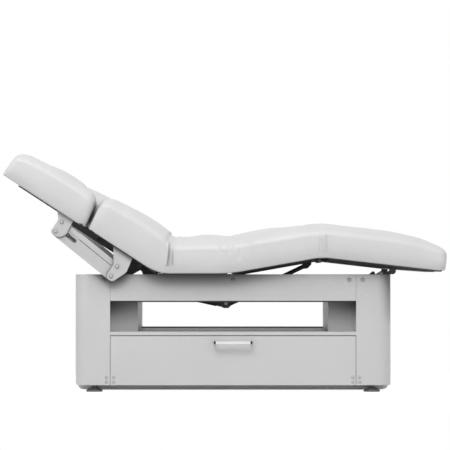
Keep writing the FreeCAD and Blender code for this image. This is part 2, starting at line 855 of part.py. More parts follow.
def prop_arm(y0):
    """Short arm beside the lever, with a bolt eye, seen through the gap above the base."""
    beam_x = back_beams_x[0]
    top = board_z - beam_h
    low_z = rail_bottom_z - prop_drop
    low_x = beam_x - prop_reach
    points = [(beam_x - lever_reach, top), (beam_x + rod_eye_r, top), (low_x + rod_eye_r, low_z),
              (low_x - rod_eye_r, low_z)]
    arm = plate_y(points, [0, 0, rod_r, rod_r], y0, y0 + lever_t)
    bolt_x = (beam_x + low_x) / 2
    bolt_z = (top + low_z) / 2
    return arm.fuse(rod_y(bolt_x, bolt_z, y0 - lug_gap, y0 + lever_t + lug_gap, prop_bolt_r))


def back_frame():
    """Two rails with eyes at both ends, cross beams, levers and short arms."""
    one = rail(neck_hinge_x, neck_hinge_z, back_hinge_x, hinge_z, rail_bottom_z)
    one = one.cut(rod_y(neck_hinge_x + rail_hole_reach, neck_hinge_z, 0, rail_y * 2, rail_hole_r))
    frame = one.fuse(mirror_y(one))
    for x in back_beams_x:
        beam = block(x - beam_w / 2, x + beam_w / 2, -beam_half_y, beam_half_y,
                     board_z - beam_w, board_z)
        frame = frame.fuse(beam)
    inner = rod_eye_half_w + lever_gap
    for y0 in (-actuator_y - inner - lever_t, inner - actuator_y):
        frame = frame.fuse(lever_plate(y0))
    for y0 in (-rail_y + rail_half_t, rail_y - rail_half_t - lever_t):
        frame = frame.fuse(prop_arm(y0))
    return frame.removeSplitter()


def back_pin_piece():
    """Cross pin in the rod eye, it works in the wide lever holes."""
    half = rod_eye_half_w + lever_gap + lever_t + fit_gap
    x, z = back_pin_rest
    return rod_y(x, z, -actuator_y - half, half - actuator_y, open_pin_r)


# Armrest linkage, front side. Each bar is drawn on the flat bed

carrier_pivot_x = 171.5
carrier_pivot_drop = 59.0
carrier_pivot_z = hinge_z - carrier_pivot_drop
pivot_pitch = 51.0
link_reach = 317.5
link_rise = 33.0
link_t = 5.0
link_gap = 1.0
plate_t = 5.0
upper_half_w = 13.0
lower_below = 20.0
slit = 2.0
carrier_top_head = 236.0
carrier_top_foot = 134.0
fin_head = 48.0
fin_foot = 40.0
plate_belly = 49.0
plate_round = 30.0
fin_round = 42.0
bolt_head_r = 9.0
bolt_head_h = 5.0
bolt_r = 5.0
cut_x0 = 218.0
cut_x1 = 278.0
cut_low = 10.0
cut_high = 30.0
cut_r = 8.0

carrier_x = back_hinge_x - carrier_pivot_x
carrier_low_z = carrier_pivot_z - pivot_pitch
fin_x = carrier_x - link_reach
fin_high_z = carrier_pivot_z + link_rise
fin_low_z = fin_high_z - pivot_pitch
carrier_out_y = half_bed - carrier_inset
link_y1 = link_t - carrier_out_y
link_y0 = -carrier_out_y
plate_y1 = link_y0 - link_gap
plate_y0 = plate_y1 - plate_t


def bolt_holes(places):
    return [rod_y(x, z, plate_y0 - plate_t, link_y1 + link_t, bolt_r + fit_gap) for x, z in places]


def carrier_bracket():
    """Plate under the back board that carries both link pivots."""
    end_r = bolt_head_r + bolt_r * 2
    points = [
        (back_hinge_x - carrier_top_head, board_z), (carrier_x - end_r, carrier_pivot_z),
        (carrier_x - end_r, carrier_low_z - end_r), (carrier_x + end_r, carrier_low_z - end_r),
        (carrier_x + plate_belly, carrier_pivot_z), (back_hinge_x - carrier_top_foot, board_z),
    ]
    plate = plate_y(points, [0, end_r, end_r, end_r, plate_round, 0], plate_y0, plate_y1)
    flange = block(back_hinge_x - carrier_top_head, back_hinge_x - carrier_top_foot,
                   plate_y1, plate_y1 + flange_w, board_z - plate_t, board_z)
    shape = plate.fuse(flange)
    for hole in bolt_holes([(carrier_x, carrier_pivot_z), (carrier_x, carrier_low_z)]):
        shape = shape.cut(hole)
    return shape.removeSplitter()


def armrest_bracket():
    """Fin shaped plate under the armrest board."""
    end_r = bolt_head_r + bolt_r * 2
    points = [
        (fin_x - fin_head, board_z), (fin_x - end_r, fin_high_z), (fin_x - end_r, fin_low_z - end_r),
        (fin_x + plate_belly, fin_low_z - end_r), (fin_x + fin_foot, board_z),
    ]
    plate = plate_y(points, [0, end_r * 2, end_r, fin_round, 0], plate_y0, plate_y1)
    flange = block(fin_x - fin_head, fin_x + fin_foot, plate_y1, plate_y1 + flange_w,
                   board_z - plate_t, board_z)
    shape = plate.fuse(flange)
    for hole in bolt_holes([(fin_x, fin_high_z), (fin_x, fin_low_z)]):
        shape = shape.cut(hole)
    return shape.removeSplitter()


end_share = 0.98
link_angle = math.atan2(link_rise, link_reach)
link_length = math.hypot(link_reach, link_rise)


def link_point(along, above, pivot_z):
    """Place of a point given along a link and above its pivot line."""
    x = carrier_x - along * math.cos(link_angle) + above * math.sin(link_angle)
    z = pivot_z + along * math.sin(link_angle) + above * math.cos(link_angle)
    return (x, z)


def link_bar(below, above, pivot_z):
    """Straight link between its two pivots, wider above or below their line."""
    end = min(below, above)
    corners = rectangle(-end, link_length + end, -below, above)
    points = [link_point(along, lift, pivot_z) for along, lift in corners]
    radii = [below * end_share, below * end_share, above * end_share, above * end_share]
    bar = plate_y(points, radii, link_y0, link_y1)
    if above > below:
        corners = rectangle(cut_x0, cut_x1, cut_low, cut_high)
        window = [link_point(along, lift, pivot_z) for along, lift in corners]
        bar = bar.cut(plate_y(window, [cut_r] * 4, link_y0 - link_t, link_y1 + link_t))
    for along in (0, link_length):
        x, z = link_point(along, 0, pivot_z)
        bar = bar.cut(rod_y(x, z, link_y0 - link_t, link_y1 + link_t, bolt_r + fit_gap))
    return bar


def upper_link():
    return link_bar(upper_half_w - slit / 2, upper_half_w, carrier_pivot_z)


def lower_link():
    return link_bar(lower_below, pivot_pitch - upper_half_w - slit, carrier_low_z)


def pivot_bolt(x, z):
    """Domed bolt through a link and its bracket plate."""
    shank = rod_y(x, z, plate_y0 - fit_gap, link_y1 + fit_gap, bolt_r)
    face = vec(x, plate_y0 - fit_gap, z)
    head = Part.makeCone(bolt_head_r, bolt_head_r / 2, bolt_head_h, face, vec(0, -1, 0))
    nut = rod_y(x, z, link_y1 + fit_gap, link_y1 + bolt_head_h, bolt_head_r)
    return shank.fuse(head).fuse(nut)


def armrest_bolts():
    return group([pivot_bolt(fin_x, fin_high_z), pivot_bolt(fin_x, fin_low_z)])


def carrier_bolts():
    return pair(group([pivot_bolt(carrier_x, carrier_pivot_z), pivot_bolt(carrier_x, carrier_low_z)]))


# Headrest

headrest_beam_shares = (0.25, 0.85)
headrest_rail_end = 40.0


def headrest_frame():
    """Two flat rails outside the back rails, with cross beams under the board."""
    outer = rail_y + rail_half_t + lug_gap
    end_x = headrest_end_x + headrest_rail_end
    hole_r = hinge_pin_r + fit_gap
    arm = eye_arm(neck_hinge_x, neck_hinge_z, end_x, outer, outer + lug_t, hole_r, slim_bottom_z)
    frame = arm.fuse(mirror_y(arm))
    for share in headrest_beam_shares:
        x = headrest_start_x + (end_x - headrest_start_x) * share
        beam = block(x, x + beam_w, -outer, outer, slim_bottom_z, board_z)
        frame = frame.fuse(beam)
    return frame.removeSplitter()


def neck_pins():
    """Headed pins through the back rails and the headrest rails."""
    y0 = rail_y - rail_half_t - fit_gap
    y1 = rail_y + rail_half_t + lug_gap + lug_t + fit_gap
    pin = rod_y(neck_hinge_x, neck_hinge_z, y0, y1, hinge_pin_r)
    pin = pin.fuse(rod_y(neck_hinge_x, neck_hinge_z, y0 - hinge_head_h, y0, hinge_head_r))
    pin = pin.fuse(rod_y(neck_hinge_x, neck_hinge_z, y1, y1 + hinge_head_h, hinge_head_r))
    return pair(pin)


# Thigh section

thigh_beam_shares = (0.3, 0.92)


def thigh_frame():
    """Two rails, two cross beams and the lugs for the leg actuator."""
    one = rail(thigh_hinge_x, hinge_z, knee_x, hinge_z, slim_bottom_z)
    frame = one.fuse(mirror_y(one))
    for share in thigh_beam_shares:
        x = thigh_hinge_x + thigh_length * share
        frame = frame.fuse(block(x - beam_w / 2, x + beam_w / 2, -beam_half_y, beam_half_y,
                                 slim_bottom_z, board_z))
    beam_x = thigh_hinge_x + thigh_length * thigh_beam_shares[1]
    x, z = leg_pin
    inner = rod_eye_half_w + lever_gap
    for y0 in (actuator_y - inner - lever_t, actuator_y + inner):
        points = [(x - rod_eye_r, z), (x, z - rod_eye_r), (x + rod_eye_r, z - rod_eye_r),
                  (beam_x, board_z - beam_w), (beam_x, board_z), (x, board_z)]
        frame = frame.fuse(plate_y(points, [0] * len(points), y0, y0 + lever_t))
    pin = rod_y(x, z, actuator_y - inner - lever_t, actuator_y + inner + lever_t, open_pin_r)
    return frame.fuse(pin).removeSplitter()


# Calf section

tray_half_y = beam_half_y
tray_depth = 12.0
tray_wall = 3.0
tray_head_gap = 30.0
tray_foot_gap = 35.0
tray_taper = 190.0
tray_foot_depth = 4.0
swing_x = 666.9
swing_drop = 20.5
swing_z = hinge_z - swing_drop
swing_reach_x = 101.9
swing_reach_z = 8.9
swing_arm_half = 10.0
swing_eye_r = 15.0
swing_side_gap = 4.0
swing_t = 8.0
swing_hole_spare = 4.0
swing_tube_r = 7.0
boss_r = 15.0
boss_t = 3.5
roller_x = 48.0
roller_z = 18.5
roller_r = 9.0
roller_w = 8.0
swing_bracket_gap = 2.0
swing_bracket_t = 5.0

swing_y = tray_half_y + swing_side_gap
swing_bracket_y = swing_y + swing_t + swing_bracket_gap
calf_pin = (swing_x + swing_reach_x, swing_z + swing_reach_z)


def calf_lugs():
    """Arms on the tray that meet the thigh rails at the knee."""
    lugs = []
    foot_x = knee_x + tray_head_gap + rail_neck
    for lug in side_lugs(knee_x, hinge_z, foot_x, slim_bottom_z):
        lugs.append(lug)
    return lugs


def calf_tray():
    """Shallow steel tray that thins towards the foot end, open to the board above it."""
    x0 = knee_x + tray_head_gap
    x1 = calf_foot_x - tray_foot_gap
    low = board_z - tray_depth
    points = [
        (x0, board_z), (x0, low), (x1 - tray_taper, low), (x1, board_z - tray_foot_depth),
        (x1, board_z),
    ]
    tray = plate_y(points, [0] * len(points), -tray_half_y, tray_half_y)
    far = x1 - tray_wall * 2
    hollow = [
        (x0 + tray_wall, board_z + tray_wall), (x0 + tray_wall, low + tray_wall),
        (x1 - tray_taper, low + tray_wall), (far, board_z), (far, board_z + tray_wall),
    ]
    inside = tray_half_y - tray_wall
    tray = tray.cut(plate_y(hollow, [0] * len(hollow), -inside, inside))
    for piece in calf_lugs() + [calf_boss(), mirror_y(calf_boss())]:
        tray = tray.fuse(piece)
    return tray.removeSplitter()


def calf_boss():
    """Round boss and headed pin on the side of the tray, for the swing link."""
    x, z = calf_pin
    end = swing_y + swing_t + fit_gap
    pin = rod_y(x, z, -end, -tray_half_y, hinge_pin_r)
    boss = rod_y(x, z, -tray_half_y - boss_t, -tray_half_y, boss_r)
    hanger = block(x - boss_r, x + boss_r, -tray_half_y - boss_t, -tray_half_y, z, board_z)
    head = rod_y(x, z, -end - hinge_head_h, -end, boss_r)
    return boss.fuse(hanger).fuse(pin).fuse(head)


def swing_link():
    """Two side arms with a lobe for the roller, joined by a cross tube."""
    y1 = -swing_y
    y0 = y1 - swing_t
    x, z = calf_pin
    side_x = swing_arm_half * math.sin(math.atan2(swing_reach_z, swing_reach_x))
    lobe_x = swing_x + roller_x
    lobe_z = swing_z + roller_z + swing_tube_r
    points = [(swing_x + side_x, swing_z - swing_arm_half), (x + side_x, z - swing_arm_half),
              (x - side_x, z + swing_arm_half), (lobe_x + roller_r, swing_z + swing_arm_half),
              (lobe_x + swing_tube_r, lobe_z), (lobe_x - swing_tube_r, lobe_z),
              (swing_x - side_x, swing_z + swing_arm_half)]
    arm = plate_y(points, [0] * len(points), y0, y1)
    arm = arm.fuse(rod_y(swing_x, swing_z, y0, y1, eye_r)).fuse(rod_y(x, z, y0, y1, swing_eye_r))
    arm = arm.cut(rod_y(x, z, y0 - swing_t, y1 + swing_t, hinge_pin_r + swing_hole_spare))
    arm = arm.cut(rod_y(swing_x, swing_z, y0 - swing_t, y1 + swing_t, hinge_pin_r + fit_gap))
    tube = rod_y(swing_x, swing_z, y1, -y1, swing_tube_r)
    tube = tube.cut(rod_y(swing_x, swing_z, y1 - swing_t, -y1 + swing_t, hinge_pin_r + fit_gap))
    return arm.fuse(mirror_y(arm)).fuse(tube).removeSplitter()


def swing_rollers():
    """Nylon rollers on the lobes of the side arms."""
    x = swing_x + roller_x
    z = swing_z + roller_z
    y1 = -swing_y - swing_t
    roller = rod_y(x, z, y1 - roller_w, y1, roller_r)
    return pair(roller)


def swing_brackets():
    """Plates that rise from the channel frame to the pivot of the swing link."""
    y1 = -swing_bracket_y
    y0 = y1 - swing_bracket_t
    root_x = base_x(seam_x) + fit_gap
    points = [
        (root_x, ring_top_z), (root_x, ring_bottom_z), (swing_x + eye_r, swing_z - eye_r / 2),
        (swing_x + eye_r, swing_z + eye_r), (swing_x - eye_r, swing_z + eye_r),
    ]
    plate = plate_y(points, [0, 0, eye_r, eye_r / 2, eye_r], y0, y1)
    plate = plate.cut(rod_y(swing_x, swing_z, y0 - swing_t, y1 + swing_t, hinge_pin_r + fit_gap))
    pin = rod_y(swing_x, swing_z, y0 - fit_gap, -swing_y + tube_h, hinge_pin_r)
    head = rod_y(swing_x, swing_z, y0 - fit_gap - hinge_head_h, y0 - fit_gap, hinge_head_r)
    return plate, pin.fuse(head)


# Shown pose

knee_rest = -knee_ratio * thigh_rest_deg


def on_back(shape):
    return turned(shape, back_hinge_x, hinge_z, back_rest_deg)


def on_thigh(shape):
    return turned(shape, thigh_hinge_x, hinge_z, -thigh_rest_deg)


def on_calf(shape):
    return on_thigh(turned(shape, knee_x, hinge_z, knee_rest))


def calf_point(point):
    bent = turned_point(point, knee_x, hinge_z, knee_rest)
    return turned_point(bent, thigh_hinge_x, hinge_z, -thigh_rest_deg)


calf_pin_rest = calf_point(calf_pin)
swing_flat_angle = math.atan2(swing_reach_z, swing_reach_x)
swing_rest_angle = math.atan2(calf_pin_rest[1] - swing_z, calf_pin_rest[0] - swing_x)
swing_turn = math.degrees(swing_rest_angle - swing_flat_angle)


def on_swing(shape):
    return turned(shape, swing_x, swing_z, -swing_turn)


def aim_back(shape):
    """Back actuator pieces point to the head side."""
    flipped = shape.mirror(vec(0, 0, 0), vec(1, 0, 0))
    placed = flipped.copy()
    dx = actuator_x - back_pin_rest[0]
    dz = back_pin_rest[1] - actuator_z
    placed.rotate(vec(0, 0, 0), vec(0, 1, 0), math.degrees(math.atan2(dz, dx)))
    placed.translate(vec(actuator_x, -actuator_y, actuator_z))
    return placed


# Soft folds between the cushions, in the shown pose


def fold(first, second):
    return Part.makeLoft([first, second], True, True)


def shifted(wire, x):
    moved = wire.copy()
    moved.translate(vec(x, 0, 0))
    return moved


def waist_fold():
    seat_end, back_end = waist_wires()
    return fold(shifted(seat_end, -fold_clear), on_back(shifted(back_end, fold_clear)))


def hip_fold():
    seat_end, thigh_end = hip_wires()
    return fold(shifted(seat_end, fold_clear), on_thigh(shifted(thigh_end, -fold_clear)))


def knee_fold():
    thigh_end, calf_end = knee_wires()
    return fold(on_thigh(shifted(thigh_end, fold_clear)), on_calf(shifted(calf_end, -fold_clear)))


# All pieces

board_half = half_bed - board_inset
seat_board_x0 = back_hinge_x + waist_foot_seat
boards = {
    "seat": (seat_board_x0, seat_foot_x),
    "back": (back_end_x + board_inset, back_foot_x),
    "thigh": (thigh_head_x, knee_x - fold_foot),
    "calf": (knee_x + fold_foot, calf_foot_x - board_inset),
    "headrest": (headrest_end_x + board_inset, headrest_start_x),
    "armrest": (armrest_end_x + board_inset, armrest_start_x - board_inset),
}


def back_board():
    x0, x1 = boards["back"]
    half = headrest_half_width - board_inset
    wide = board(x0, x1, -board_half, board_half)
    return wide.fuse(board(neck_end_x, x0, -half, half)).removeSplitter()


def arm_pieces():
    """Armrest side pieces of the front side, drawn flat."""
    x0, x1 = boards["armrest"]
    return {
        "arm_lower_link": lower_link(),
        "arm_upper_link": upper_link(),
        "armrest_bracket": armrest_bracket(),
        "armrest_bolts": armrest_bolts(),
        "armrest_board": board(x0, x1, -board_half, -armrest_inner_y - board_inset),
        "armrest_cushion": armrest_cushion(),
    }


def build():
    half_rest = headrest_half_width - board_inset
    swing_plate, swing_pin = swing_brackets()
    frame_pins = hinge_pins(back_hinge_x, hinge_z) + hinge_pins(thigh_hinge_x, hinge_z)
    back_rod = aim_back(actuator_rod(rest_length(back_pin_rest), open_pin_r + fit_gap))
    nodes = {
        "levelling_feet": feet(),
        "plinth_tray": plinth_tray(),
        "bottom_board": bottom_board(),
        "head_end_shell": end_shell(-1),
        "foot_end_shell": end_shell(1),
        "front_apron": apron(),
        "rear_apron": mirror_y(apron()),
        "pillar_boxes": group([pillar_box(-1), pillar_box(1)]),
        "shelf_board": shelf_board(),
        "rear_lower_panel": rear_lower_panel(),
        "base_screws": base_screws(),
        "top_frame": top_frame(),
        "seat_frame": seat_frame(),
        "seat_board": board(*boards["seat"], -board_half, board_half),
        "seat_cushion": seat_cushion(),
        "frame_hinge_pins": group(frame_pins + [actuator_pins(), pair(swing_pin)]),
        "mechanism_brackets": group([actuator_bracket(), pair(swing_plate)]),
        "control_box": control_box(),
        "fixed_drawer_runners": both_ends(runner_channel()),
        "drawer_front": drawer_front(),
        "drawer_box": drawer_box(),
        "drawer_handle": drawer_handle(),
        "drawer_screws": drawer_screws(),
        "moving_drawer_runners": both_ends(runner_slide()),
        "back_frame": on_back(back_frame()),
        "back_board": on_back(back_board()),
        "back_cushion": on_back(back_cushion()),
        "carrier_brackets": on_back(pair(carrier_bracket())),
        "back_pivot_bolts": on_back(group([carrier_bolts(), neck_pins()])),
        "headrest_frame": on_back(headrest_frame()),
        "headrest_board": on_back(board(*boards["headrest"], -half_rest, half_rest)),
        "headrest_cushion": on_back(headrest_cushion()),
        "thigh_frame": on_thigh(thigh_frame()),
        "thigh_board": on_thigh(board(*boards["thigh"], -board_half, board_half)),
        "thigh_cushion": on_thigh(thigh_cushion()),
        "knee_hinge_pins": on_thigh(group(hinge_pins(knee_x, hinge_z))),
        "calf_tray": on_calf(calf_tray()),
        "calf_board": on_calf(board(*boards["calf"], -board_half, board_half)),
        "calf_cushion": on_calf(calf_cushion()),
        "swing_link": on_swing(swing_link()),
        "swing_rollers": on_swing(swing_rollers()),
        "back_actuator_housing": aim_back(actuator_housing(-1)),
        "back_actuator_rod": group([back_rod, back_pin_piece()]),
        "leg_actuator_housing": aim(actuator_housing(1), leg_pin_rest, actuator_y),
        "leg_actuator_rod": aim(actuator_rod(rest_length(leg_pin_rest), open_pin_r + leg_eye_spare),
                                leg_pin_rest, actuator_y),
        "waist_fold": waist_fold(),
        "hip_fold": hip_fold(),
        "knee_fold": knee_fold(),
    }
    for name, shape in arm_pieces().items():
        nodes["front_" + name] = on_back(shape)
        nodes["rear_" + name] = on_back(mirror_y(shape))
    return nodes


def main():
    os.makedirs("parts", exist_ok=True)
    nodes = build()
    for name, shape in nodes.items():
        save(name, shape)
    whole = group(list(nodes.values())).BoundBox
    print("pieces", len(nodes))
    print("box", whole.XMin, whole.XMax, whole.YMin, whole.YMax, whole.ZMin, whole.ZMax)
    neck = turned_point((neck_hinge_x, neck_hinge_z), back_hinge_x, hinge_z, back_rest_deg)
    low = turned_point((carrier_x, carrier_low_z), back_hinge_x, hinge_z, back_rest_deg)
    high = turned_point((carrier_x, carrier_pivot_z), back_hinge_x, hinge_z, back_rest_deg)
    fin = turned_point((fin_x, fin_low_z), back_hinge_x, hinge_z, back_rest_deg)
    knee = turned_point((knee_x, hinge_z), thigh_hinge_x, hinge_z, -thigh_rest_deg)
    print("neck", neck)
    print("carrier low", low)
    print("carrier high", high)
    print("fin low", fin)
    print("knee", knee)
    print("calf pin", calf_pin_rest, "swing turn", swing_turn)
    print("back pin", back_pin_rest, "leg pin", leg_pin_rest)


if __name__ == "__main__":
    main()
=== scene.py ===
import math
from collections import namedtuple

import bpy
import numpy as np
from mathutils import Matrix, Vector, noise
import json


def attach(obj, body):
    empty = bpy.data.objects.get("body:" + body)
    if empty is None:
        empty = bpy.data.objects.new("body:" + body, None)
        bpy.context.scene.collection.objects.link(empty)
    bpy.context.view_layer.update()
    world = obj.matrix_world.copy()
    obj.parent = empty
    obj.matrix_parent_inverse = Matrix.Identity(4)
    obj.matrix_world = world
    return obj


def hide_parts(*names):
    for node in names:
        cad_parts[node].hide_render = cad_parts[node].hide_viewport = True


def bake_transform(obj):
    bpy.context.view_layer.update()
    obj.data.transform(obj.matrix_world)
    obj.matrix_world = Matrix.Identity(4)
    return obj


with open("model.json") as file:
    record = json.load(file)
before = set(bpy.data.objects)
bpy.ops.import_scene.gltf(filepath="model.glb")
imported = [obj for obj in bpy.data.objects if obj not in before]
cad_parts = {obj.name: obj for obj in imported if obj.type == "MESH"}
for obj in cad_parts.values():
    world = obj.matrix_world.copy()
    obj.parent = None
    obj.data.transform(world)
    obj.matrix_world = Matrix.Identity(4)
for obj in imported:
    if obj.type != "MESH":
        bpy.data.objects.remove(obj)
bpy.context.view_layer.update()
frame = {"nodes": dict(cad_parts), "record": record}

# Materials

# Socket numbers of A, B and the result in a mix node, for vectors and for colours
MIX_VECTOR = (4, 5, 1)
MIX_COLOR = (6, 7, 2)


def base_material(name, color, roughness, metallic=0.0):
    mat = bpy.data.materials.new(name)
    mat.use_nodes = True
    shader = mat.node_tree.nodes["Principled BSDF"]
    shader.inputs["Base Color"].default_value = (*color, 1.0)
    shader.inputs["Roughness"].default_value = roughness
    shader.inputs["Metallic"].default_value = metallic
    return mat, mat.node_tree.nodes, mat.node_tree.links, shader


def noise_node(nodes, links, vector, scale, detail=3.0, rough=0.5):
    node = nodes.new("ShaderNodeTexNoise")
    node.inputs["Scale"].default_value = scale
    node.inputs["Detail"].default_value = detail
    node.inputs["Roughness"].default_value = rough
    links.new(vector, node.inputs["Vector"])
    return node.outputs["Fac"]


def tint(nodes, links, shader, factor, dark, light):
    """Base colour that drifts between two near tones."""
    ramp = nodes.new("ShaderNodeValToRGB")
    ramp.color_ramp.elements[0].position = 0.3
    ramp.color_ramp.elements[1].position = 0.7
    ramp.color_ramp.elements[0].color = (*dark, 1.0)
    ramp.color_ramp.elements[1].color = (*light, 1.0)
    links.new(factor, ramp.inputs["Fac"])
    links.new(ramp.outputs["Color"], shader.inputs["Base Color"])


def rough_range(nodes, links, shader, factor, low, high):
    span = nodes.new("ShaderNodeMapRange")
    span.inputs["To Min"].default_value = low
    span.inputs["To Max"].default_value = high
    links.new(factor, span.inputs["Value"])
    links.new(span.outputs["Result"], shader.inputs["Roughness"])


def bump(nodes, links, shader, height, distance, strength=1.0, below=None):
    node = nodes.new("ShaderNodeBump")
    node.inputs["Strength"].default_value = strength
    node.inputs["Distance"].default_value = distance
    links.new(height, node.inputs["Height"])
    if below is not None:
        links.new(below.outputs["Normal"], node.inputs["Normal"])
    links.new(node.outputs["Normal"], shader.inputs["Normal"])
    return node


def shade(color, factor):
    return tuple(min(1.0, part * factor) for part in color)


def leatherette(name, color):
    """Soft coated fabric: pebbled grain, slight unevenness of the foam under it."""
    mat, nodes, links, shader = base_material(name, color, 0.45)
    place = nodes.new("ShaderNodeTexCoord").outputs["Object"]
    soft = noise_node(nodes, links, place, 7.0, 4.0)
    tint(nodes, links, shader, soft, shade(color, 0.975), shade(color, 1.02))
    patch = noise_node(nodes, links, place, 40.0, 2.0)
    rough_range(nodes, links, shader, patch, 0.40, 0.50)
    shader.inputs["Specular IOR Level"].default_value = 0.42
    shader.inputs["Coat Weight"].default_value = 0.06
    shader.inputs["Coat Roughness"].default_value = 0.35
    cells = nodes.new("ShaderNodeTexVoronoi")
    cells.feature = "DISTANCE_TO_EDGE"
    cells.inputs["Scale"].default_value = 620.0
    warp = nodes.new("ShaderNodeMix")
    warp.data_type = "VECTOR"
    warp.inputs["Factor"].default_value = 0.0015
    warper = nodes.new("ShaderNodeTexNoise")
    warper.inputs["Scale"].default_value = 300.0
    links.new(place, warper.inputs["Vector"])
    links.new(place, warp.inputs[MIX_VECTOR[0]])
    links.new(warper.outputs["Color"], warp.inputs[MIX_VECTOR[1]])
    links.new(warp.outputs[MIX_VECTOR[2]], cells.inputs["Vector"])
    grain = bump(nodes, links, shader, cells.outputs["Distance"], 0.0005, 0.35)
    bump(nodes, links, shader, noise_node(nodes, links, place, 26.0, 3.0), 0.0012, 0.35, grain)
    return mat


def painted(name, color, rough=0.42, texture=900.0, depth=0.00008, drift=0.02):
    """Sprayed paint: faint orange peel and slight drift of tone and gloss."""
    mat, nodes, links, shader = base_material(name, color, rough)
    place = nodes.new("ShaderNodeTexCoord").outputs["Object"]
    tint(nodes, links, shader, noise_node(nodes, links, place, 3.0, 3.0),
         shade(color, 1.0 - drift), shade(color, 1.0 + drift))
    gloss = noise_node(nodes, links, place, 20.0, 3.0)
    rough_range(nodes, links, shader, gloss, rough - 0.05, rough + 0.05)
    bump(nodes, links, shader, noise_node(nodes, links, place, texture, 2.0), depth, 0.6)
    return mat


def painted_contact_shade(mat, reach, power, least, low=-1.0, high=-0.5):
    """Painted shade: darken the colour by ambient occlusion where other surfaces stand close, in full above
    the height high.
    """
    nodes, links = mat.node_tree.nodes, mat.node_tree.links
    shader = nodes["Principled BSDF"]
    base = shader.inputs["Base Color"].links[0].from_socket
    near = nodes.new("ShaderNodeAmbientOcclusion")
    near.samples = 16
    near.inputs["Distance"].default_value = reach
    steep = nodes.new("ShaderNodeMath")
    steep.operation = "POWER"
    steep.inputs[1].default_value = power
    links.new(near.outputs["AO"], steep.inputs[0])
    span = nodes.new("ShaderNodeMapRange")
    span.inputs["To Min"].default_value = least
    links.new(steep.outputs[0], span.inputs["Value"])
    split = nodes.new("ShaderNodeSeparateXYZ")
    links.new(nodes.new("ShaderNodeNewGeometry").outputs["Position"], split.inputs[0])
    rise = nodes.new("ShaderNodeMapRange")
    rise.interpolation_type = "SMOOTHSTEP"
    rise.inputs["From Min"].default_value = low
    rise.inputs["From Max"].default_value = high
    links.new(split.outputs["Z"], rise.inputs["Value"])
    blend = nodes.new("ShaderNodeMix")
    blend.inputs["A"].default_value = 1.0
    links.new(rise.outputs["Result"], blend.inputs["Factor"])
    links.new(span.outputs["Result"], blend.inputs["B"])
    scaled = nodes.new("ShaderNodeVectorMath")
    scaled.operation = "SCALE"
    links.new(base, scaled.inputs[0])
    links.new(blend.outputs["Result"], scaled.inputs["Scale"])
    links.new(scaled.outputs["Vector"], shader.inputs["Base Color"])
    return mat


def powder_coat(name, color, rough):
    return painted(name, color, rough, texture=1600.0, depth=0.0002, drift=0.08)


def worn_steel(name, color, rough):
    """Satin steel with fine brush lines along X."""
    mat, nodes, links, shader = base_material(name, color, rough, 1.0)
    place = nodes.new("ShaderNodeTexCoord").outputs["Object"]
    stretch = nodes.new("ShaderNodeMapping")
    stretch.inputs["Scale"].default_value = (0.05, 1.0, 1.0)
    links.new(place, stretch.inputs["Vector"])
    lines = noise_node(nodes, links, stretch.outputs["Vector"], 500.0, 3.0)
    tint(nodes, links, shader, lines, shade(color, 0.9), shade(color, 1.06))
    rough_range(nodes, links, shader, lines, rough - 0.06, rough + 0.08)
    bump(nodes, links, shader, lines, 0.00004, 0.5)
    return mat


def paint_shade_on_ends(mat, middle, half, color):
    """Another colour beyond half a length either side of a middle X."""
    nodes, links = mat.node_tree.nodes, mat.node_tree.links
    shader = nodes["Principled BSDF"]
    base = shader.inputs["Base Color"].links[0].from_socket
    split = nodes.new("ShaderNodeSeparateXYZ")
    links.new(nodes.new("ShaderNodeTexCoord").outputs["Object"], split.inputs[0])
    apart = nodes.new("ShaderNodeMath")
    apart.operation = "SUBTRACT"
    apart.inputs[1].default_value = middle
    links.new(split.outputs["X"], apart.inputs[0])
    size = nodes.new("ShaderNodeMath")
    size.operation = "ABSOLUTE"
    links.new(apart.outputs[0], size.inputs[0])
    beyond = nodes.new("ShaderNodeMath")
    beyond.operation = "GREATER_THAN"
    beyond.inputs[1].default_value = half
    links.new(size.outputs[0], beyond.inputs[0])
    mix = nodes.new("ShaderNodeMix")
    mix.data_type = "RGBA"
    mix.inputs[MIX_COLOR[1]].default_value = (*color, 1.0)
    links.new(beyond.outputs[0], mix.inputs[0])
    links.new(base, mix.inputs[MIX_COLOR[0]])
    links.new(mix.outputs[MIX_COLOR[2]], shader.inputs["Base Color"])


def wood_layers(name, dark, light, rough):
    """Plywood: thin layers through its height and grain along its length."""
    mat, nodes, links, shader = base_material(name, light, rough)
    place = nodes.new("ShaderNodeTexCoord").outputs["Object"]
    stretch = nodes.new("ShaderNodeMapping")
    stretch.inputs["Scale"].default_value = (2.0, 60.0, 400.0)
    links.new(place, stretch.inputs["Vector"])
    grain = noise_node(nodes, links, stretch.outputs["Vector"], 3.0, 5.0)
    tint(nodes, links, shader, grain, dark, light)
    rough_range(nodes, links, shader, grain, rough - 0.05, rough + 0.08)
    bump(nodes, links, shader, grain, 0.00015, 0.5)
    return mat


def moulded(name, color, rough):
    """Moulded plastic with a fine spark texture."""
    mat, nodes, links, shader = base_material(name, color, rough)
    place = nodes.new("ShaderNodeTexCoord").outputs["Object"]
    spark = noise_node(nodes, links, place, 1400.0, 2.0)
    tint(nodes, links, shader, noise_node(nodes, links, place, 9.0, 2.0),
         shade(color, 0.92), shade(color, 1.08))
    rough_range(nodes, links, shader, spark, rough - 0.06, rough + 0.06)
    bump(nodes, links, shader, spark, 0.00012, 0.5)
    return mat
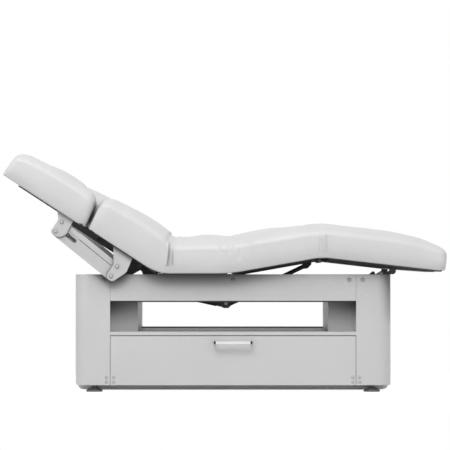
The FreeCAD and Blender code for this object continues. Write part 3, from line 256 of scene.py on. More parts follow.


# How deep the painted shade from nearby surfaces goes, which fades toward the floor at the base
SHADE_AT_BASE = {"reach": 0.30, "power": 6.5, "least": 0.1, "low": 0.24, "high": 0.36}
SHADE_AT_PILLARS = {"reach": 0.15, "power": 3.0, "least": 0.1, "low": 0.29, "high": 0.40}
SHADE_AT_LINKS = {"reach": 0.03, "power": 2.5, "least": 0.15}
SHADE_AT_BOLTS = {"reach": 0.016, "power": 4.0, "least": 0.1}
SHADE_AT_PADS = {"reach": 0.04, "power": 1.1, "least": 0.3}

# Black of the actuator rod's steel, also painted on the handle's ends as shade
ROD_BLACK_AND_END_SHADE = (0.05, 0.05, 0.052)
# Leatherette with painted shade in its creases and in the gaps between pads
UPHOLSTERY = painted_contact_shade(leatherette("leatherette", (0.67, 0.67, 0.67)), **SHADE_AT_PADS)
LOOKS = {
    # painted shade under the pads and in the corners of the base, fading out toward the floor
    "base_paint": painted_contact_shade(painted("paint_grey", (0.64, 0.64, 0.642)), **SHADE_AT_BASE),
    "drawer_board": painted("laminate_grey", (0.62, 0.62, 0.62), 0.5, texture=400.0, depth=0.00005),
    "ply_black": wood_layers("ply_black", (0.012, 0.012, 0.012), (0.03, 0.029, 0.028), 0.6),
    "frame_steel": powder_coat("coat_black", (0.045, 0.045, 0.046), 0.45),
    # painted shade along the edges where the link plates overlap
    "link_paint": painted_contact_shade(powder_coat("coat_grey", (0.58, 0.58, 0.583), 0.42), **SHADE_AT_LINKS),
    # painted shade in a dark ring round each bolt head
    "bolt_steel": painted_contact_shade(painted("zinc", (0.56, 0.56, 0.565), 0.28), **SHADE_AT_BOLTS),
    "handle_steel": worn_steel("satin_steel", (0.78, 0.78, 0.785), 0.30),
    "foot_plastic": moulded("foot_grey", (0.16, 0.16, 0.165), 0.6),
    "actuator_plastic": moulded("shell_black", (0.025, 0.025, 0.027), 0.5),
    "rod_steel": worn_steel("black_steel", ROD_BLACK_AND_END_SHADE, 0.35),
    "nylon": moulded("nylon_white", (0.86, 0.86, 0.85), 0.45),
    "upholstery": UPHOLSTERY,
}
# Copy of the base paint for the pillar faces, slightly lighter, with its own painted shade under the apron
# that fades out lower down
SHADED_PILLARS = painted_contact_shade(painted("paint_inside_shaded", (0.66, 0.66, 0.662)), **SHADE_AT_PILLARS)
PLINTH = painted("plinth_grey", (0.60, 0.60, 0.602), 0.5, texture=700.0, depth=0.0001)
# Screw heads in their own grey, with the same painted shade as the base
SCREWS = painted_contact_shade(painted("screw_grey", (0.50, 0.50, 0.505), 0.3, texture=800.0, depth=0.00005), **SHADE_AT_BASE)
# Black of the lock springs, also used for the dark strips that stand for shade in the slits
BLACK = moulded("part_black", (0.03, 0.03, 0.031), 0.4)
OWN_LOOKS = {"plinth_tray": PLINTH, "pillar_boxes": SHADED_PILLARS, "base_screws": SCREWS, "drawer_screws": SCREWS}

for part in frame["record"]["subparts"]:
    node_mesh = frame["nodes"][part["node"]].data
    node_mesh.materials.clear()
    node_mesh.materials.append(OWN_LOOKS.get(part["node"], LOOKS[part["material_slot"]]))

# Length of the handle bar's ends, which are painted dark as the shade on its legs
SHADED_END_LENGTH = 0.0085
grip_x = [corner[0] for corner in frame["nodes"]["drawer_handle"].bound_box]
paint_shade_on_ends(LOOKS["handle_steel"], (min(grip_x) + max(grip_x)) / 2,
          (max(grip_x) - min(grip_x)) / 2 - SHADED_END_LENGTH, ROD_BLACK_AND_END_SHADE)

# The bend from the flat bed to the pose in the photo

HINGE_Z = 0.520
PAD_Z = 0.534
WAIST_X = -0.308
HIP_X = 0.022
KNEE_X = 0.4404
BACK_ANGLE = math.radians(33.0)
THIGH_ANGLE = math.radians(10.0)
CALF_ANGLE = math.radians(6.5)


def turn(x, z, about, angle):
    """Turn a point in the side view. A positive angle lifts the head side."""
    dx, dz = x - about[0], z - about[1]
    return (about[0] + dx * math.cos(angle) + dz * math.sin(angle),
            about[1] + dz * math.cos(angle) - dx * math.sin(angle))


KNEE = turn(KNEE_X, HINGE_Z, (HIP_X, HINGE_Z), -THIGH_ANGLE)


def on_seat(x, z):
    return (x, z)


def on_back(x, z):
    return turn(x, z, (WAIST_X, HINGE_Z), BACK_ANGLE)


def on_thigh(x, z):
    return turn(x, z, (HIP_X, HINGE_Z), -THIGH_ANGLE)


def on_calf(x, z):
    return turn(KNEE[0] + x - KNEE_X, KNEE[1] + z - HINGE_Z, KNEE, CALF_ANGLE)


class Fold:
    """Smooth bend of the pad's underside between two straight stretches, by three control points."""

    def __init__(self, x, reach, before, after):
        self.low = x - reach
        self.high = x + reach
        self.p0 = np.array(before(self.low, PAD_Z))
        self.p2 = np.array(after(self.high, PAD_Z))
        d0 = np.array(before(self.low + 0.1, PAD_Z)) - self.p0
        d2 = np.array(after(self.high - 0.1, PAD_Z)) - self.p2
        base = np.array([[d0[0], -d2[0]], [d0[1], -d2[1]]])
        steps = np.linalg.solve(base, self.p2 - self.p0)
        self.p1 = self.p0 + d0 * steps[0]

    def at(self, x, height):
        t = ((x - self.low) / (self.high - self.low))[:, None]
        p = (1 - t) ** 2 * self.p0 + 2 * t * (1 - t) * self.p1 + t ** 2 * self.p2
        d = 2 * (1 - t) * (self.p1 - self.p0) + 2 * t * (self.p2 - self.p1)
        d /= np.linalg.norm(d, axis=1)[:, None]
        up = np.stack([-d[:, 1], d[:, 0]], axis=1)
        return p + up * height[:, None]


STRAIGHTS = [on_back, on_seat, on_thigh, on_calf]
FOLDS = [
    Fold(WAIST_X, 0.066, on_back, on_seat),
    Fold(HIP_X, 0.06, on_seat, on_thigh),
    Fold(KNEE_X, 0.035, on_thigh, on_calf),
]


def bent(x, height):
    """Side-view places of flat points, arrays in, arrays out."""
    out = np.zeros((len(x), 2))
    edges = [-math.inf]
    for fold in FOLDS:
        edges += [fold.low, fold.high]
    edges.append(math.inf)
    for i in range(len(edges) - 1):
        pick = (x >= edges[i]) & (x < edges[i + 1])
        if not pick.any():
            continue
        if i % 2:
            out[pick] = FOLDS[i // 2].at(x[pick], height[pick])
        else:
            place = STRAIGHTS[i // 2]
            out[pick] = [place(a, PAD_Z + b) for a, b in zip(x[pick], height[pick])]
    return out


def ease(a, b, x):
    """Smooth step from 0 at a to 1 at b."""
    t = np.clip((x - a) / (b - a), 0.0, 1.0)
    return t * t * (3 - 2 * t)


def curve(points, x):
    """Smooth value at x through (x, value) pairs."""
    xs = np.array([p[0] for p in points])
    values = np.array([p[1] for p in points])
    slopes = np.gradient(values, xs)
    i = int(np.clip(np.searchsorted(xs, x) - 1, 0, len(xs) - 2))
    h = xs[i + 1] - xs[i]
    t = min(max((x - xs[i]) / h, 0.0), 1.0)
    a, b = values[i], values[i + 1]
    ma, mb = slopes[i] * h, slopes[i + 1] * h
    return ((2 * t ** 3 - 3 * t ** 2 + 1) * a + (t ** 3 - 2 * t ** 2 + t) * ma
            + (3 * t ** 2 - 2 * t ** 3) * b + (t ** 3 - t ** 2) * mb)


# Pads: cross sections swept along the bed, closed by rounded ends

BOTTOM_N, CORNER_N, SIDE_N, ROLL_N, TOP_N, END_N = 7, 4, 10, 7, 24, 9
# How far the cover is pulled in at the board, and the radius of its lower corner
PULL = 0.007
CORNER = 0.009
# Sizes of the rings that close an end face, as shares of its outline
CAP_SHARES = (0.9, 0.72, 0.48, 0.24, 0.06)

# One cross section, heights over the board. The crown's power says how full it is.
Size = namedtuple("Size", "left right low side crown roll power")
# A rounded end: how long it is, how much each side and the top draw in, how much the
# underside lifts and how far the end face bellies out
End = namedtuple("End", "reach side top low bulge")
SHARP = End(0.0, 0.0, 0.0, 0.0, 0.0)


def half_section(width, low, side, crown, roll, power):
    """(distance in from the edge, height) from the middle of the base to the middle of the top."""
    out = [(width + (PULL + CORNER - width) * i / BOTTOM_N, low) for i in range(BOTTOM_N)]
    for i in range(CORNER_N):
        a = math.pi / 2 * i / CORNER_N
        out.append((PULL + CORNER * (1 - math.sin(a)), low + CORNER * (1 - math.cos(a))))
    z0, z1 = low + CORNER, side - roll
    for i in range(SIDE_N):
        t = i / SIDE_N
        off = PULL * (1 - 2 * t) ** 2 if t < 0.5 else PULL * 0.5 * (2 * t - 1) ** 2
        out.append((off, z0 + (z1 - z0) * t))
    start = PULL * 0.5
    slope = math.atan(power * (crown - side) / max(width - roll, 0.05))
    last = math.pi / 2 - slope
    for i in range(ROLL_N):
        a = last * i / ROLL_N
        out.append((start + roll * (1 - math.cos(a)), z1 + roll * math.sin(a)))
    d1 = start + roll * (1 - math.cos(last))
    h1 = z1 + roll * math.sin(last)
    for i in range(TOP_N + 1):
        s = (i / TOP_N) ** 1.4
        out.append((d1 + (width - d1) * s, h1 + (crown - h1) * (1 - (1 - s) ** power)))
    return out


def section(size):
    """Closed loop of (y, height) round the pad, from the base's middle by the low-Y side."""
    half = (size.right - size.left) / 2
    points = half_section(half, size.low, size.side, size.crown, size.roll, size.power)
    left = [(size.left + d, h) for d, h in points]
    right = [(size.right - d, h) for d, h in points]
    return left + right[-2:0:-1]


class Pad:
    """Grid of rows round a pad on the flat bed."""

    def __init__(self):
        self.rows = []
        self.x = []

    def add(self, x, loop):
        self.x.append(x)
        self.rows.append(loop)

    def arrays(self):
        x = np.repeat(np.array(self.x)[:, None], len(self.rows[0]), axis=1)
        grid = np.array(self.rows)
        return x, grid[:, :, 0], grid[:, :, 1]


def rounded_rows(end, inward, reach):
    """(x, share) of the rows that round off an end, from the end inward."""
    out = []
    for i in range(END_N + 1):
        a = math.pi / 2 * i / END_N
        out.append((end + inward * reach * (1 - math.sin(a)), 1 - math.cos(a)))
    return out[::-1]


def cap_rows(loop, x, outward, bulge):
    """Rings that close an end face with a slight belly."""
    ys = np.array(loop)
    centre = ys.mean(axis=0)
    rings = []
    for share in CAP_SHARES:
        ring = centre + (ys - centre) * share
        rings.append((x + outward * bulge * (1 - share ** 2), [tuple(p) for p in ring]))
    return rings


def build_pad(sizes, x0, x1, step, start, stop):
    """Rows from x0 to x1, with the rounded ends start and stop."""
    pad = Pad()

    def loop_at(x, share=0.0, end=SHARP):
        size = sizes(x)
        return section(size._replace(
            left=size.left + end.side * share, right=size.right - end.side * share,
            low=size.low + end.low * share, side=size.side - end.top * share,
            crown=size.crown - end.top * share))

    rows = rounded_rows(x0, 1, start.reach)
    first = loop_at(*rows[0], start)
    for x, loop in cap_rows(first, x0, -1, start.bulge)[::-1]:
        pad.add(x, loop)
    for x, share in rows[:-1]:
        pad.add(x, loop_at(x, share, start))
    low = x0 + start.reach
    high = x1 - stop.reach
    count = int(round((high - low) / step))
    for i in range(count + 1):
        x = low + (high - low) * i / count
        pad.add(x, loop_at(x))
    for x, share in rounded_rows(x1, -1, stop.reach)[-2::-1]:
        pad.add(x, loop_at(x, share, stop))
    for x, loop in cap_rows(pad.rows[-1], x1, 1, stop.bulge):
        pad.add(x, loop)
    return pad


def grid_normals(p):
    """Vertex normals of a grid that closes round its second axis."""
    around = np.roll(p, -1, axis=1) - np.roll(p, 1, axis=1)
    along = np.gradient(p, axis=0)
    n = np.cross(along, around)
    size = np.linalg.norm(n, axis=2)
    size[size < 1e-12] = 1.0
    n /= size[:, :, None]
    outward = p - p.mean(axis=1, keepdims=True)
    if (n * outward).sum() < 0:
        n = -n
    return n


def soft_noise(p, scale, seed, amount):
    flat = p.reshape(-1, 3)
    shift = Vector((seed * 3.1, seed * 1.7, seed * 0.9))
    out = np.array([noise.noise(Vector(q) * scale + shift) for q in flat])
    return (out * amount).reshape(p.shape[:2])


def place_pad(pad, moved):
    """Rest-pose grid of a pad. moved maps flat x and height arrays to side-view places."""
    x, y, h = pad.arrays()
    side = moved(x.ravel(), h.ravel())
    p = np.stack([side[:, 0].reshape(x.shape), y, side[:, 1].reshape(x.shape)], axis=2)
    return p, x, h


def push(p, n, amount):
    """Grid moved out along its normals."""
    return p + n * amount[:, :, None]


def mesh_piece(name, p, normals, round_low=True, round_high=True):
    """Mesh from a grid, shaded by the grid's own normals. One face closes each end, which is
    shaded flat where the end is a cut and not rounded."""
    rows, around = p.shape[:2]
    verts = p.reshape(-1, 3)
    i = np.arange(rows - 1)[:, None] * around
    j = np.arange(around)[None, :]
    k = (j + 1) % around
    quads = np.stack([i + j, i + k, i + around + k, i + around + j], axis=2).reshape(-1, 4)
    faces = [tuple(q) for q in quads.tolist()]
    faces += [tuple(range(around - 1, -1, -1)), tuple(range((rows - 1) * around, rows * around))]
    across = np.cross(p[1:, :-1] - p[:-1, :-1], p[:-1, 1:] - p[:-1, :-1])
    if (across * normals[:-1, :-1]).sum() > 0:
        faces = [face[::-1] for face in faces]
    mesh = bpy.data.meshes.new(name)
    mesh.from_pydata(verts.tolist(), [], faces)
    mesh.validate()
    mesh.shade_smooth()
    flat = normals.reshape(-1, 3)
    loop_verts = np.zeros(len(mesh.loops), dtype=np.int32)
    mesh.loops.foreach_get("vertex_index", loop_verts)
    custom = flat[loop_verts]
    for face, rounded in ((mesh.polygons[-2], round_low), (mesh.polygons[-1], round_high)):
        if not rounded:
            custom[list(face.loop_indices)] = face.normal
    mesh.normals_split_custom_set(custom.tolist())
    mesh.materials.append(UPHOLSTERY)
    obj = bpy.data.objects.new(name, mesh)
    bpy.context.scene.collection.objects.link(obj)
    return obj


# Folds and creases, drawn as strokes on the shown pose

# Metres in a pixel of the picture at the near side, and the pixel at X 0 and the eye's height
PER_PIXEL = 4.479e-3
MIDDLE_X, MIDDLE_Y = 225.5, 272.0
EYE_Z = 0.5394


def stroke(p, points, width, depth, axes, facing, fade=0.012):
    """How far points near a line are pushed out. axes are the two axes that it is drawn in."""
    a = p[:, :, axes[0]]
    b = p[:, :, axes[1]]
    best = np.full(a.shape, math.inf)
    along = np.zeros(a.shape)
    total = 0.0
    for (a0, b0), (a1, b1) in zip(points[:-1], points[1:]):
        size = math.hypot(a1 - a0, b1 - b0)
        raw = ((a - a0) * (a1 - a0) + (b - b0) * (b1 - b0)) / size ** 2
        t = np.clip(raw, 0.0, 1.0)
        off = np.hypot(a - a0 - t * (a1 - a0), b - b0 - t * (b1 - b0))
        near = off < best
        best = np.where(near, off, best)
        along = np.where(near, total + t * size, along)
        total += size
    ends = ease(0.0, fade, along) * ease(0.0, fade, total - along)
    groove = np.exp(-(best / width) ** 2)
    rims = np.exp(-((best - 2.1 * width) / (0.9 * width)) ** 2)
    return -depth * (groove - 0.35 * rims) * ends * facing


def photo_side(x, y):
    """Side-view place on the near side of a point given in the picture's own scale."""
    return ((x - MIDDLE_X) * PER_PIXEL, EYE_Z - (y - MIDDLE_Y) * PER_PIXEL)


# Main pad: back, seat, thigh and calf

HALF_BED = 0.4
BACK_END = -0.680
CALF_END = 0.9985
END_LEAN = 0.14
# Heights of the side edge and of the crown along the flat bed
SIDE_H = [(-0.68, 0.153), (-0.60, 0.161), (-0.42, 0.164), (-0.36, 0.158), (-0.30, 0.146), (-0.24, 0.136),
          (-0.10, 0.136), (0.05, 0.134), (0.20, 0.134), (0.42, 0.131), (0.60, 0.131), (0.80, 0.126),
          (0.90, 0.113), (0.96, 0.102), (1.0, 0.095)]
CROWN_H = [(-0.68, 0.170), (-0.60, 0.183), (-0.44, 0.193), (-0.37, 0.187), (-0.31, 0.176), (-0.24, 0.169),
           (-0.17, 0.168), (-0.09, 0.1765), (-0.03, 0.175), (0.02, 0.169), (0.10, 0.1715), (0.18, 0.1735),
           (0.23, 0.172), (0.33, 0.163), (0.40, 0.1585), (0.49, 0.157), (0.67, 0.1565), (0.76, 0.1540),
           (0.82, 0.1480), (0.89, 0.1365), (0.95, 0.118), (1.0, 0.102)]
# Creases at the side: line in the picture's scale, width, depth. First waist, then hip, then knee.
SIDE_CREASES = (
    ([(171.0, 240.5), (170.2, 250.0), (169.2, 260.0), (168.0, 268.0)], 0.0045, 0.0072),
    ([(172.6, 243.0), (172.8, 252.0), (172.9, 260.0), (172.6, 267.0)], 0.0038, 0.0055),
    ([(171.8, 242.0), (175.0, 240.5), (180.0, 238.5), (185.0, 237.6)], 0.0055, 0.0050),
    ([(243.0, 241.0), (241.0, 247.0), (240.0, 254.0), (240.0, 260.0)], 0.0120, 0.0038),
    ([(248.5, 233.5), (243.0, 238.0), (237.0, 245.0), (234.0, 251.0)], 0.0080, 0.0024),
    ([(257.0, 234.0), (252.0, 239.0), (248.0, 245.0)], 0.0080, 0.0032),
    ([(221.5, 240.0), (221.5, 247.0), (223.0, 255.0)], 0.0070, 0.0022),
    ([(231.0, 239.0), (229.5, 246.0), (230.0, 253.0)], 0.0070, 0.0020),
    ([(320.3, 236.0), (320.2, 247.0), (320.0, 257.5)], 0.0042, 0.0030),
    ([(323.3, 237.0), (323.2, 247.0), (323.0, 257.0)], 0.0036, 0.0022),
    ([(327.0, 234.0), (327.2, 246.0), (327.4, 258.0)], 0.0050, 0.0042),
)
# Wavy folds across the top: place along the bed, depth, width
TOP_FOLDS = (
    (-0.222, 0.0030, 0.0085), (-0.196, 0.0024, 0.0075), (-0.171, 0.0020, 0.0075), (-0.146, 0.0012, 0.0080),
    (0.030, 0.0016, 0.0110), (0.062, 0.0020, 0.0110), (0.098, 0.0014, 0.0100),
)
# Where the pad is cut, in flat places along the bed
BACK_CUT = -0.135
THIGH_CUT = 0.225


def main_sizes(x):
    return Size(-HALF_BED, HALF_BED, low=-0.002, side=curve(SIDE_H, x), crown=curve(CROWN_H, x),
                roll=0.040, power=4.2)


def main_moved(x, h):
    """The bend, with the cover leaning to the foot end at the waist and to the head at its upper end."""
    lean = 0.020 * np.exp(-((x + 0.30) / 0.09) ** 2) * ease(0.0, 0.14, h)
    lean -= END_LEAN * h * ease(0.10, 0.0, x - BACK_END)
    return bent(x + lean, h)


main = build_pad(main_sizes, BACK_END, CALF_END, step=0.004,
                 start=End(reach=0.045, side=0.018, top=0.045, low=0.002, bulge=0.006),
                 stop=End(reach=0.034, side=0.034, top=0.022, low=0.010, bulge=0.006))
grid, flat_x, flat_h = place_pad(main, main_moved)
normals = grid_normals(grid)
at_side = ease(0.25, 0.75, np.abs(normals[:, :, 1]))
on_top = ease(0.3, 0.8, normals[:, :, 2]) * (flat_h > 0.02)
above_board = ease(0.006, 0.03, flat_h)
pushed = np.zeros(grid.shape[:2])
for line, width, depth in SIDE_CREASES:
    points = [photo_side(*spot) for spot in line]
    pushed += stroke(grid, points, width, depth, (0, 2), at_side * above_board)
for seed, (fold_x, depth, width) in enumerate(TOP_FOLDS, 1):
    points = []
    for i in range(13):
        y = -0.36 + 0.06 * i
        points.append((fold_x + 0.009 * noise.noise(Vector((y * 6.0, seed * 5.0, 0.3))), y))
    pushed += stroke(grid, points, width, depth, (0, 1), on_top, fade=0.10)
pushed += soft_noise(grid, 7.0, 2, 0.0016) * above_board
pushed += soft_noise(grid, 16.0, 5, 0.0007) * above_board
grid = push(grid, normals, pushed)
normals = grid_normals(grid)
cut_a, cut_b = [int(np.argmin(np.abs(np.array(main.x) - place))) for place in (BACK_CUT, THIGH_CUT)]
back_pad = mesh_piece("back_pad", grid[:cut_a + 1], normals[:cut_a + 1], round_high=False)
seat_pad = mesh_piece("seat_pad", grid[cut_a:cut_b + 1], normals[cut_a:cut_b + 1], False, False)
calf_pad = mesh_piece("calf_pad", grid[cut_b:], normals[cut_b:], round_low=False)

# Headrest with the neck that joins it to the back pad

HEAD_HALF = 0.170
HEAD_SIDE = [(-1.11, 0.103), (-1.06, 0.114), (-0.95, 0.126), (-0.85, 0.130), (-0.78, 0.132), (-0.66, 0.134)]
HEAD_CROWN = [(-1.11, 0.117), (-1.06, 0.131), (-1.00, 0.146), (-0.95, 0.155), (-0.89, 0.159),
              (-0.85, 0.158), (-0.811, 0.1545), (-0.78, 0.158), (-0.73, 0.164), (-0.66, 0.170)]
NECK_X = -0.811


def head_sizes(x):
    return Size(-HEAD_HALF, HEAD_HALF, low=0.0, side=curve(HEAD_SIDE, x), crown=curve(HEAD_CROWN, x),
                roll=0.035, power=3.0)


def back_moved(x, h):
    return np.array([on_back(a, PAD_Z + b) for a, b in zip(x, h)])


head = build_pad(head_sizes, -1.1095, -0.664, step=0.006,
                 start=End(reach=0.035, side=0.04, top=0.03, low=0.012, bulge=0.004),
                 stop=End(reach=0.012, side=0.01, top=0.01, low=0.006, bulge=0.0))
grid, flat_x, flat_h = place_pad(head, back_moved)
groove = np.exp(-((flat_x - NECK_X) / 0.007) ** 2) * ease(0.004, 0.03, flat_h)
grid = push(grid, grid_normals(grid), -0.006 * groove)
uneven = soft_noise(grid, 9.0, 8, 0.0014) * ease(0.006, 0.03, flat_h)
grid = push(grid, grid_normals(grid), uneven)
head_pad = mesh_piece("head_pad", grid, grid_normals(grid))

# Armrests

ARM_SIDE = [(-1.136, 0.104), (-1.11, 0.113), (-1.08, 0.121), (-1.03, 0.128), (-0.95, 0.135),
            (-0.85, 0.138), (-0.75, 0.138), (-0.69, 0.136)]
ARM_CROWN = [(-1.136, 0.114), (-1.11, 0.124), (-1.09, 0.131), (-1.04, 0.138), (-0.97, 0.146),
             (-0.85, 0.148), (-0.75, 0.147), (-0.69, 0.144)]


def arm_sizes(x):
    return Size(-HALF_BED, -0.180, low=-0.007, side=curve(ARM_SIDE, x), crown=curve(ARM_CROWN, x),
                roll=0.042, power=3.0)


def arm_moved(x, h):
    return back_moved(x - END_LEAN * h * ease(-0.80, -0.70, x), h)


arm = build_pad(arm_sizes, -1.1355, -0.6985, step=0.006,
                start=End(reach=0.030, side=0.018, top=0.020, low=0.0, bulge=0.004),
                stop=End(reach=0.055, side=0.024, top=0.050, low=0.008, bulge=0.004))
arm_pads = {}
for side, sign, seed in (("front", 1.0, 11), ("rear", -1.0, 23)):
    grid, flat_x, flat_h = place_pad(arm, arm_moved)
    grid[:, :, 1] *= sign
    uneven = soft_noise(grid, 9.0, seed, 0.0015) + soft_noise(grid, 24.0, seed + 4, 0.0005)
    grid = push(grid, grid_normals(grid), uneven * ease(0.006, 0.03, flat_h))
    if sign < 0:
        grid = grid[:, ::-1]
    arm_pads[side] = mesh_piece(side + "_armrest_pad", grid, grid_normals(grid))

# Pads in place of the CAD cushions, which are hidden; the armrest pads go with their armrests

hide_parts("back_cushion", "waist_fold", "seat_cushion")
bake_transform(back_pad)
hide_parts("seat_cushion", "hip_fold", "thigh_cushion")
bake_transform(seat_pad)
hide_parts("thigh_cushion", "knee_fold", "calf_cushion")
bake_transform(calf_pad)
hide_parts("headrest_cushion")
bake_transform(head_pad)
for side, piece in arm_pads.items():
    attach(piece, side + "_armrest")
    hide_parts(side + "_armrest_cushion")

# Lock spring in each lower link, and the dark strip behind the slit between the links, which is painted
# shade seen through the slit

# The links' lower pivot on the flat bed, the links' rise, the middle and the back of their plates
LINK_X = -0.4795
LINK_Z = 0.410
LINK_ANGLE = math.radians(5.934)
LINK_Y = 0.369
LINK_BACK = 0.3655
# Places along the link and over its middle line
SLOT_LIFT = 0.020
RING_AT, RING_R, RING_HOLE, RING_T = 0.2655, 0.0096, 0.0042, 0.004
COIL_FROM, COIL_TO, COIL_R, WIRE_R, TURNS = 0.2565, 0.2225, 0.0050, 0.0012, 7
PIN_R, PIN_TO = 0.0016, 0.2190
STRIP_LIFT, STRIP_FROM, STRIP_TO, STRIP_HALF, STRIP_T = 0.037, 0.030, 0.214, 0.004, 0.002
RING_STEPS, COIL_STEPS = 48, 16


def link_place(along, lift, y):
    """Place in the shown pose of a point given along a lower link."""
    x = LINK_X - along * math.cos(LINK_ANGLE) + lift * math.sin(LINK_ANGLE)
    z = LINK_Z + along * math.sin(LINK_ANGLE) + lift * math.cos(LINK_ANGLE)
    x, z = on_back(x, z)
    return (x, y, z)


def tube_grid(points, radius, around):
    """Rows of points round a path, with frames carried along it."""
    points = np.array(points)
    ahead = np.gradient(points, axis=0)
    ahead /= np.linalg.norm(ahead, axis=1)[:, None]
    up = np.array((0.0, 1.0, 0.0))
    rows = []
    for place, course in zip(points, ahead):
        up = up - course * up.dot(course)
        up /= np.linalg.norm(up)
        side = np.cross(course, up)
        turns = np.linspace(0.0, 2 * math.pi, around, endpoint=False)[:, None]
        rows.append(place + radius * (np.cos(turns) * up + np.sin(turns) * side))
    return np.array(rows)


def link_piece(name, grids):
    """One black mesh of several closed tubes, given as grids of rows."""
    verts, faces = [], []
    for grid in grids:
        rows, around = grid.shape[:2]
        first = len(verts)
        verts += grid.reshape(-1, 3).tolist()
        for i in range(rows - 1):
            for j in range(around):
                k = (j + 1) % around
                a = first + i * around
                faces.append((a + j, a + k, a + around + k, a + around + j))
        faces.append(tuple(first + j for j in range(around - 1, -1, -1)))
        faces.append(tuple(first + (rows - 1) * around + j for j in range(around)))
    mesh = bpy.data.meshes.new(name)
    mesh.from_pydata(verts, [], faces)
    mesh.validate()
    mesh.shade_smooth()
    mesh.set_sharp_from_angle(angle=math.radians(40.0))
    mesh.materials.append(BLACK)
    obj = bpy.data.objects.new(name, mesh)
    bpy.context.scene.collection.objects.link(obj)
    return obj


def ring_grid(sign):
    """Flat ring across the slot: a square section turned about its own middle."""
    rows = []
    for i in range(RING_STEPS + 1):
        a = 2 * math.pi * i / RING_STEPS
        row = []
        for r, y in ((RING_HOLE, -1), (RING_R, -1), (RING_R, 1), (RING_HOLE, 1)):
            row.append(link_place(RING_AT + r * math.cos(a), SLOT_LIFT + r * math.sin(a),
                                  sign * LINK_Y + y * RING_T / 2))
        rows.append(row)
    return np.array(rows)


def coil_path(sign):
    """Middle of the coil's wire."""
    out = []
    count = TURNS * COIL_STEPS
    for i in range(count + 1):
        a = 2 * math.pi * i / COIL_STEPS
        along = COIL_FROM + (COIL_TO - COIL_FROM) * i / count
        out.append(link_place(along, SLOT_LIFT + COIL_R * math.cos(a),
                              sign * LINK_Y + COIL_R * math.sin(a)))
    return out


def shade_strip_grid(sign):
    """Flat dark strip behind the slit, painted shade seen through it."""
    rows = []
    for along in (STRIP_FROM, STRIP_TO):
        rows.append([link_place(along, STRIP_LIFT + lift * STRIP_HALF, sign * (LINK_BACK - depth * STRIP_T))
                     for lift, depth in ((-1, 0), (1, 0), (1, 1), (-1, 1))])
    return np.array(rows)


for side, sign in (("front", -1.0), ("rear", 1.0)):
    pin = [link_place(along, SLOT_LIFT, sign * LINK_Y) for along in np.linspace(PIN_TO, COIL_FROM, 8)]
    tubes = [ring_grid(sign), tube_grid(coil_path(sign), WIRE_R, 8), tube_grid(pin, PIN_R, 10)]
    spring = link_piece(side + "_lock_spring", tubes)
    shade_strip = link_piece(side + "_slit_shade_strip", [shade_strip_grid(sign)])
    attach(spring, side + "_lower_link")
    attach(shade_strip, side + "_lower_link")

# Room, light and camera

SKY = 0.5
FLOOR_LIGHT = 0.7
FLOOR_SEEN = 0.3
FLOOR_GLOW = 0.95
FADE_FROM, FADE_TO = 1.3, 2.2
FLOOR_HALF = 30.0


def seen_ray(nodes, links):
    """1 for rays from the camera and for those that gloss or glass sends on."""
    path = nodes.new("ShaderNodeLightPath")
    seen = path.outputs["Is Camera Ray"]
    for ray in ("Is Glossy Ray", "Is Transmission Ray"):
        either = nodes.new("ShaderNodeMath")
        either.operation = "MAXIMUM"
        links.new(seen, either.inputs[0])
        links.new(path.outputs[ray], either.inputs[1])
        seen = either.outputs[0]
    return seen


def mixed(nodes, links, factor, first, second):
    """Shader that goes from first to second with a factor."""
    mix = nodes.new("ShaderNodeMixShader")
    links.new(factor, mix.inputs["Fac"])
    links.new(first.outputs[0], mix.inputs[1])
    links.new(second.outputs[0], mix.inputs[2])
    return mix


def plain_shader(nodes, kind, name, value):
    shader = nodes.new(kind)
    shader.inputs[name].default_value = value
    return shader


world = bpy.context.scene.world or bpy.data.worlds.new("World")
bpy.context.scene.world = world
world.use_nodes = True
nodes, links = world.node_tree.nodes, world.node_tree.links
nodes.clear()
sky = plain_shader(nodes, "ShaderNodeBackground", "Strength", SKY)
white = plain_shader(nodes, "ShaderNodeBackground", "Color", (1.0, 1.0, 1.0, 1.0))
choose = mixed(nodes, links, seen_ray(nodes, links), sky, white)
links.new(choose.outputs[0], nodes.new("ShaderNodeOutputWorld").inputs["Surface"])

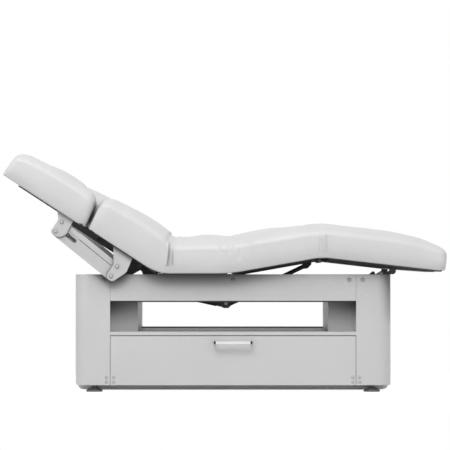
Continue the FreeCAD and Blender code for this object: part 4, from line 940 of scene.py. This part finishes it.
# The floor gives back light as grey paper, is seen as paper with the object's shadow, and
# fades to plain white with the distance from the object
floor_mat = bpy.data.materials.new("floor_white")
floor_mat.use_nodes = True
nodes, links = floor_mat.node_tree.nodes, floor_mat.node_tree.links
nodes.clear()
bounce = plain_shader(nodes, "ShaderNodeBsdfDiffuse", "Color", (FLOOR_LIGHT, FLOOR_LIGHT, FLOOR_LIGHT, 1.0))
shadowed = plain_shader(nodes, "ShaderNodeBsdfDiffuse", "Color", (FLOOR_SEEN, FLOOR_SEEN, FLOOR_SEEN, 1.0))
glow = plain_shader(nodes, "ShaderNodeEmission", "Strength", FLOOR_GLOW)
paper = plain_shader(nodes, "ShaderNodeEmission", "Strength", 1.0)
lit = nodes.new("ShaderNodeAddShader")
links.new(shadowed.outputs[0], lit.inputs[0])
links.new(glow.outputs[0], lit.inputs[1])
distance = nodes.new("ShaderNodeVectorMath")
distance.operation = "LENGTH"
links.new(nodes.new("ShaderNodeNewGeometry").outputs["Position"], distance.inputs[0])
far = nodes.new("ShaderNodeMapRange")
far.interpolation_type = "SMOOTHSTEP"
far.inputs["From Min"].default_value = FADE_FROM
far.inputs["From Max"].default_value = FADE_TO
links.new(distance.outputs["Value"], far.inputs["Value"])
shown = mixed(nodes, links, far.outputs["Result"], lit, paper)
total = mixed(nodes, links, seen_ray(nodes, links), bounce, shown)
links.new(total.outputs[0], nodes.new("ShaderNodeOutputMaterial").inputs["Surface"])
floor_mesh = bpy.data.meshes.new("floor")
corners = [(x * FLOOR_HALF, y * FLOOR_HALF, 0.0) for x, y in ((-1, -1), (1, -1), (1, 1), (-1, 1))]
floor_mesh.from_pydata(corners, [], [(0, 1, 2, 3)])
floor_mesh.materials.append(floor_mat)
floor = bpy.data.objects.new("floor", floor_mesh)
bpy.context.scene.collection.objects.link(floor)


def area_light(name, place, size, energy):
    """Rectangular light turned to the middle of the bed, energy in watts."""
    data = bpy.data.lights.new(name, "AREA")
    data.shape = "RECTANGLE"
    data.size, data.size_y = size
    data.energy = energy
    obj = bpy.data.objects.new(name, data)
    obj.location = place
    obj.rotation_euler = (Vector((0.0, 0.0, 0.5)) - Vector(place)).to_track_quat("-Z", "Y").to_euler()
    bpy.context.scene.collection.objects.link(obj)


area_light("soft_key", (-0.8, -3.5, 5.4), (5.0, 2.2), 235.0)
area_light("soft_left", (-6.0, -3.0, 2.4), (3.0, 3.0), 45.0)
area_light("soft_right", (6.0, -3.0, 2.4), (3.0, 3.0), 55.0)

camera_data = bpy.data.cameras.new("camera")
camera_data.lens = 186.7
camera_data.sensor_width = 36.0
camera = bpy.data.objects.new("camera", camera_data)
camera.location = (0.0, -10.85, EYE_Z)
camera.rotation_euler = (math.radians(90.0 + 1.154), 0.0, 0.0)
bpy.context.scene.collection.objects.link(camera)
bpy.context.scene.camera = camera
bpy.context.scene.view_settings.view_transform = "Standard"
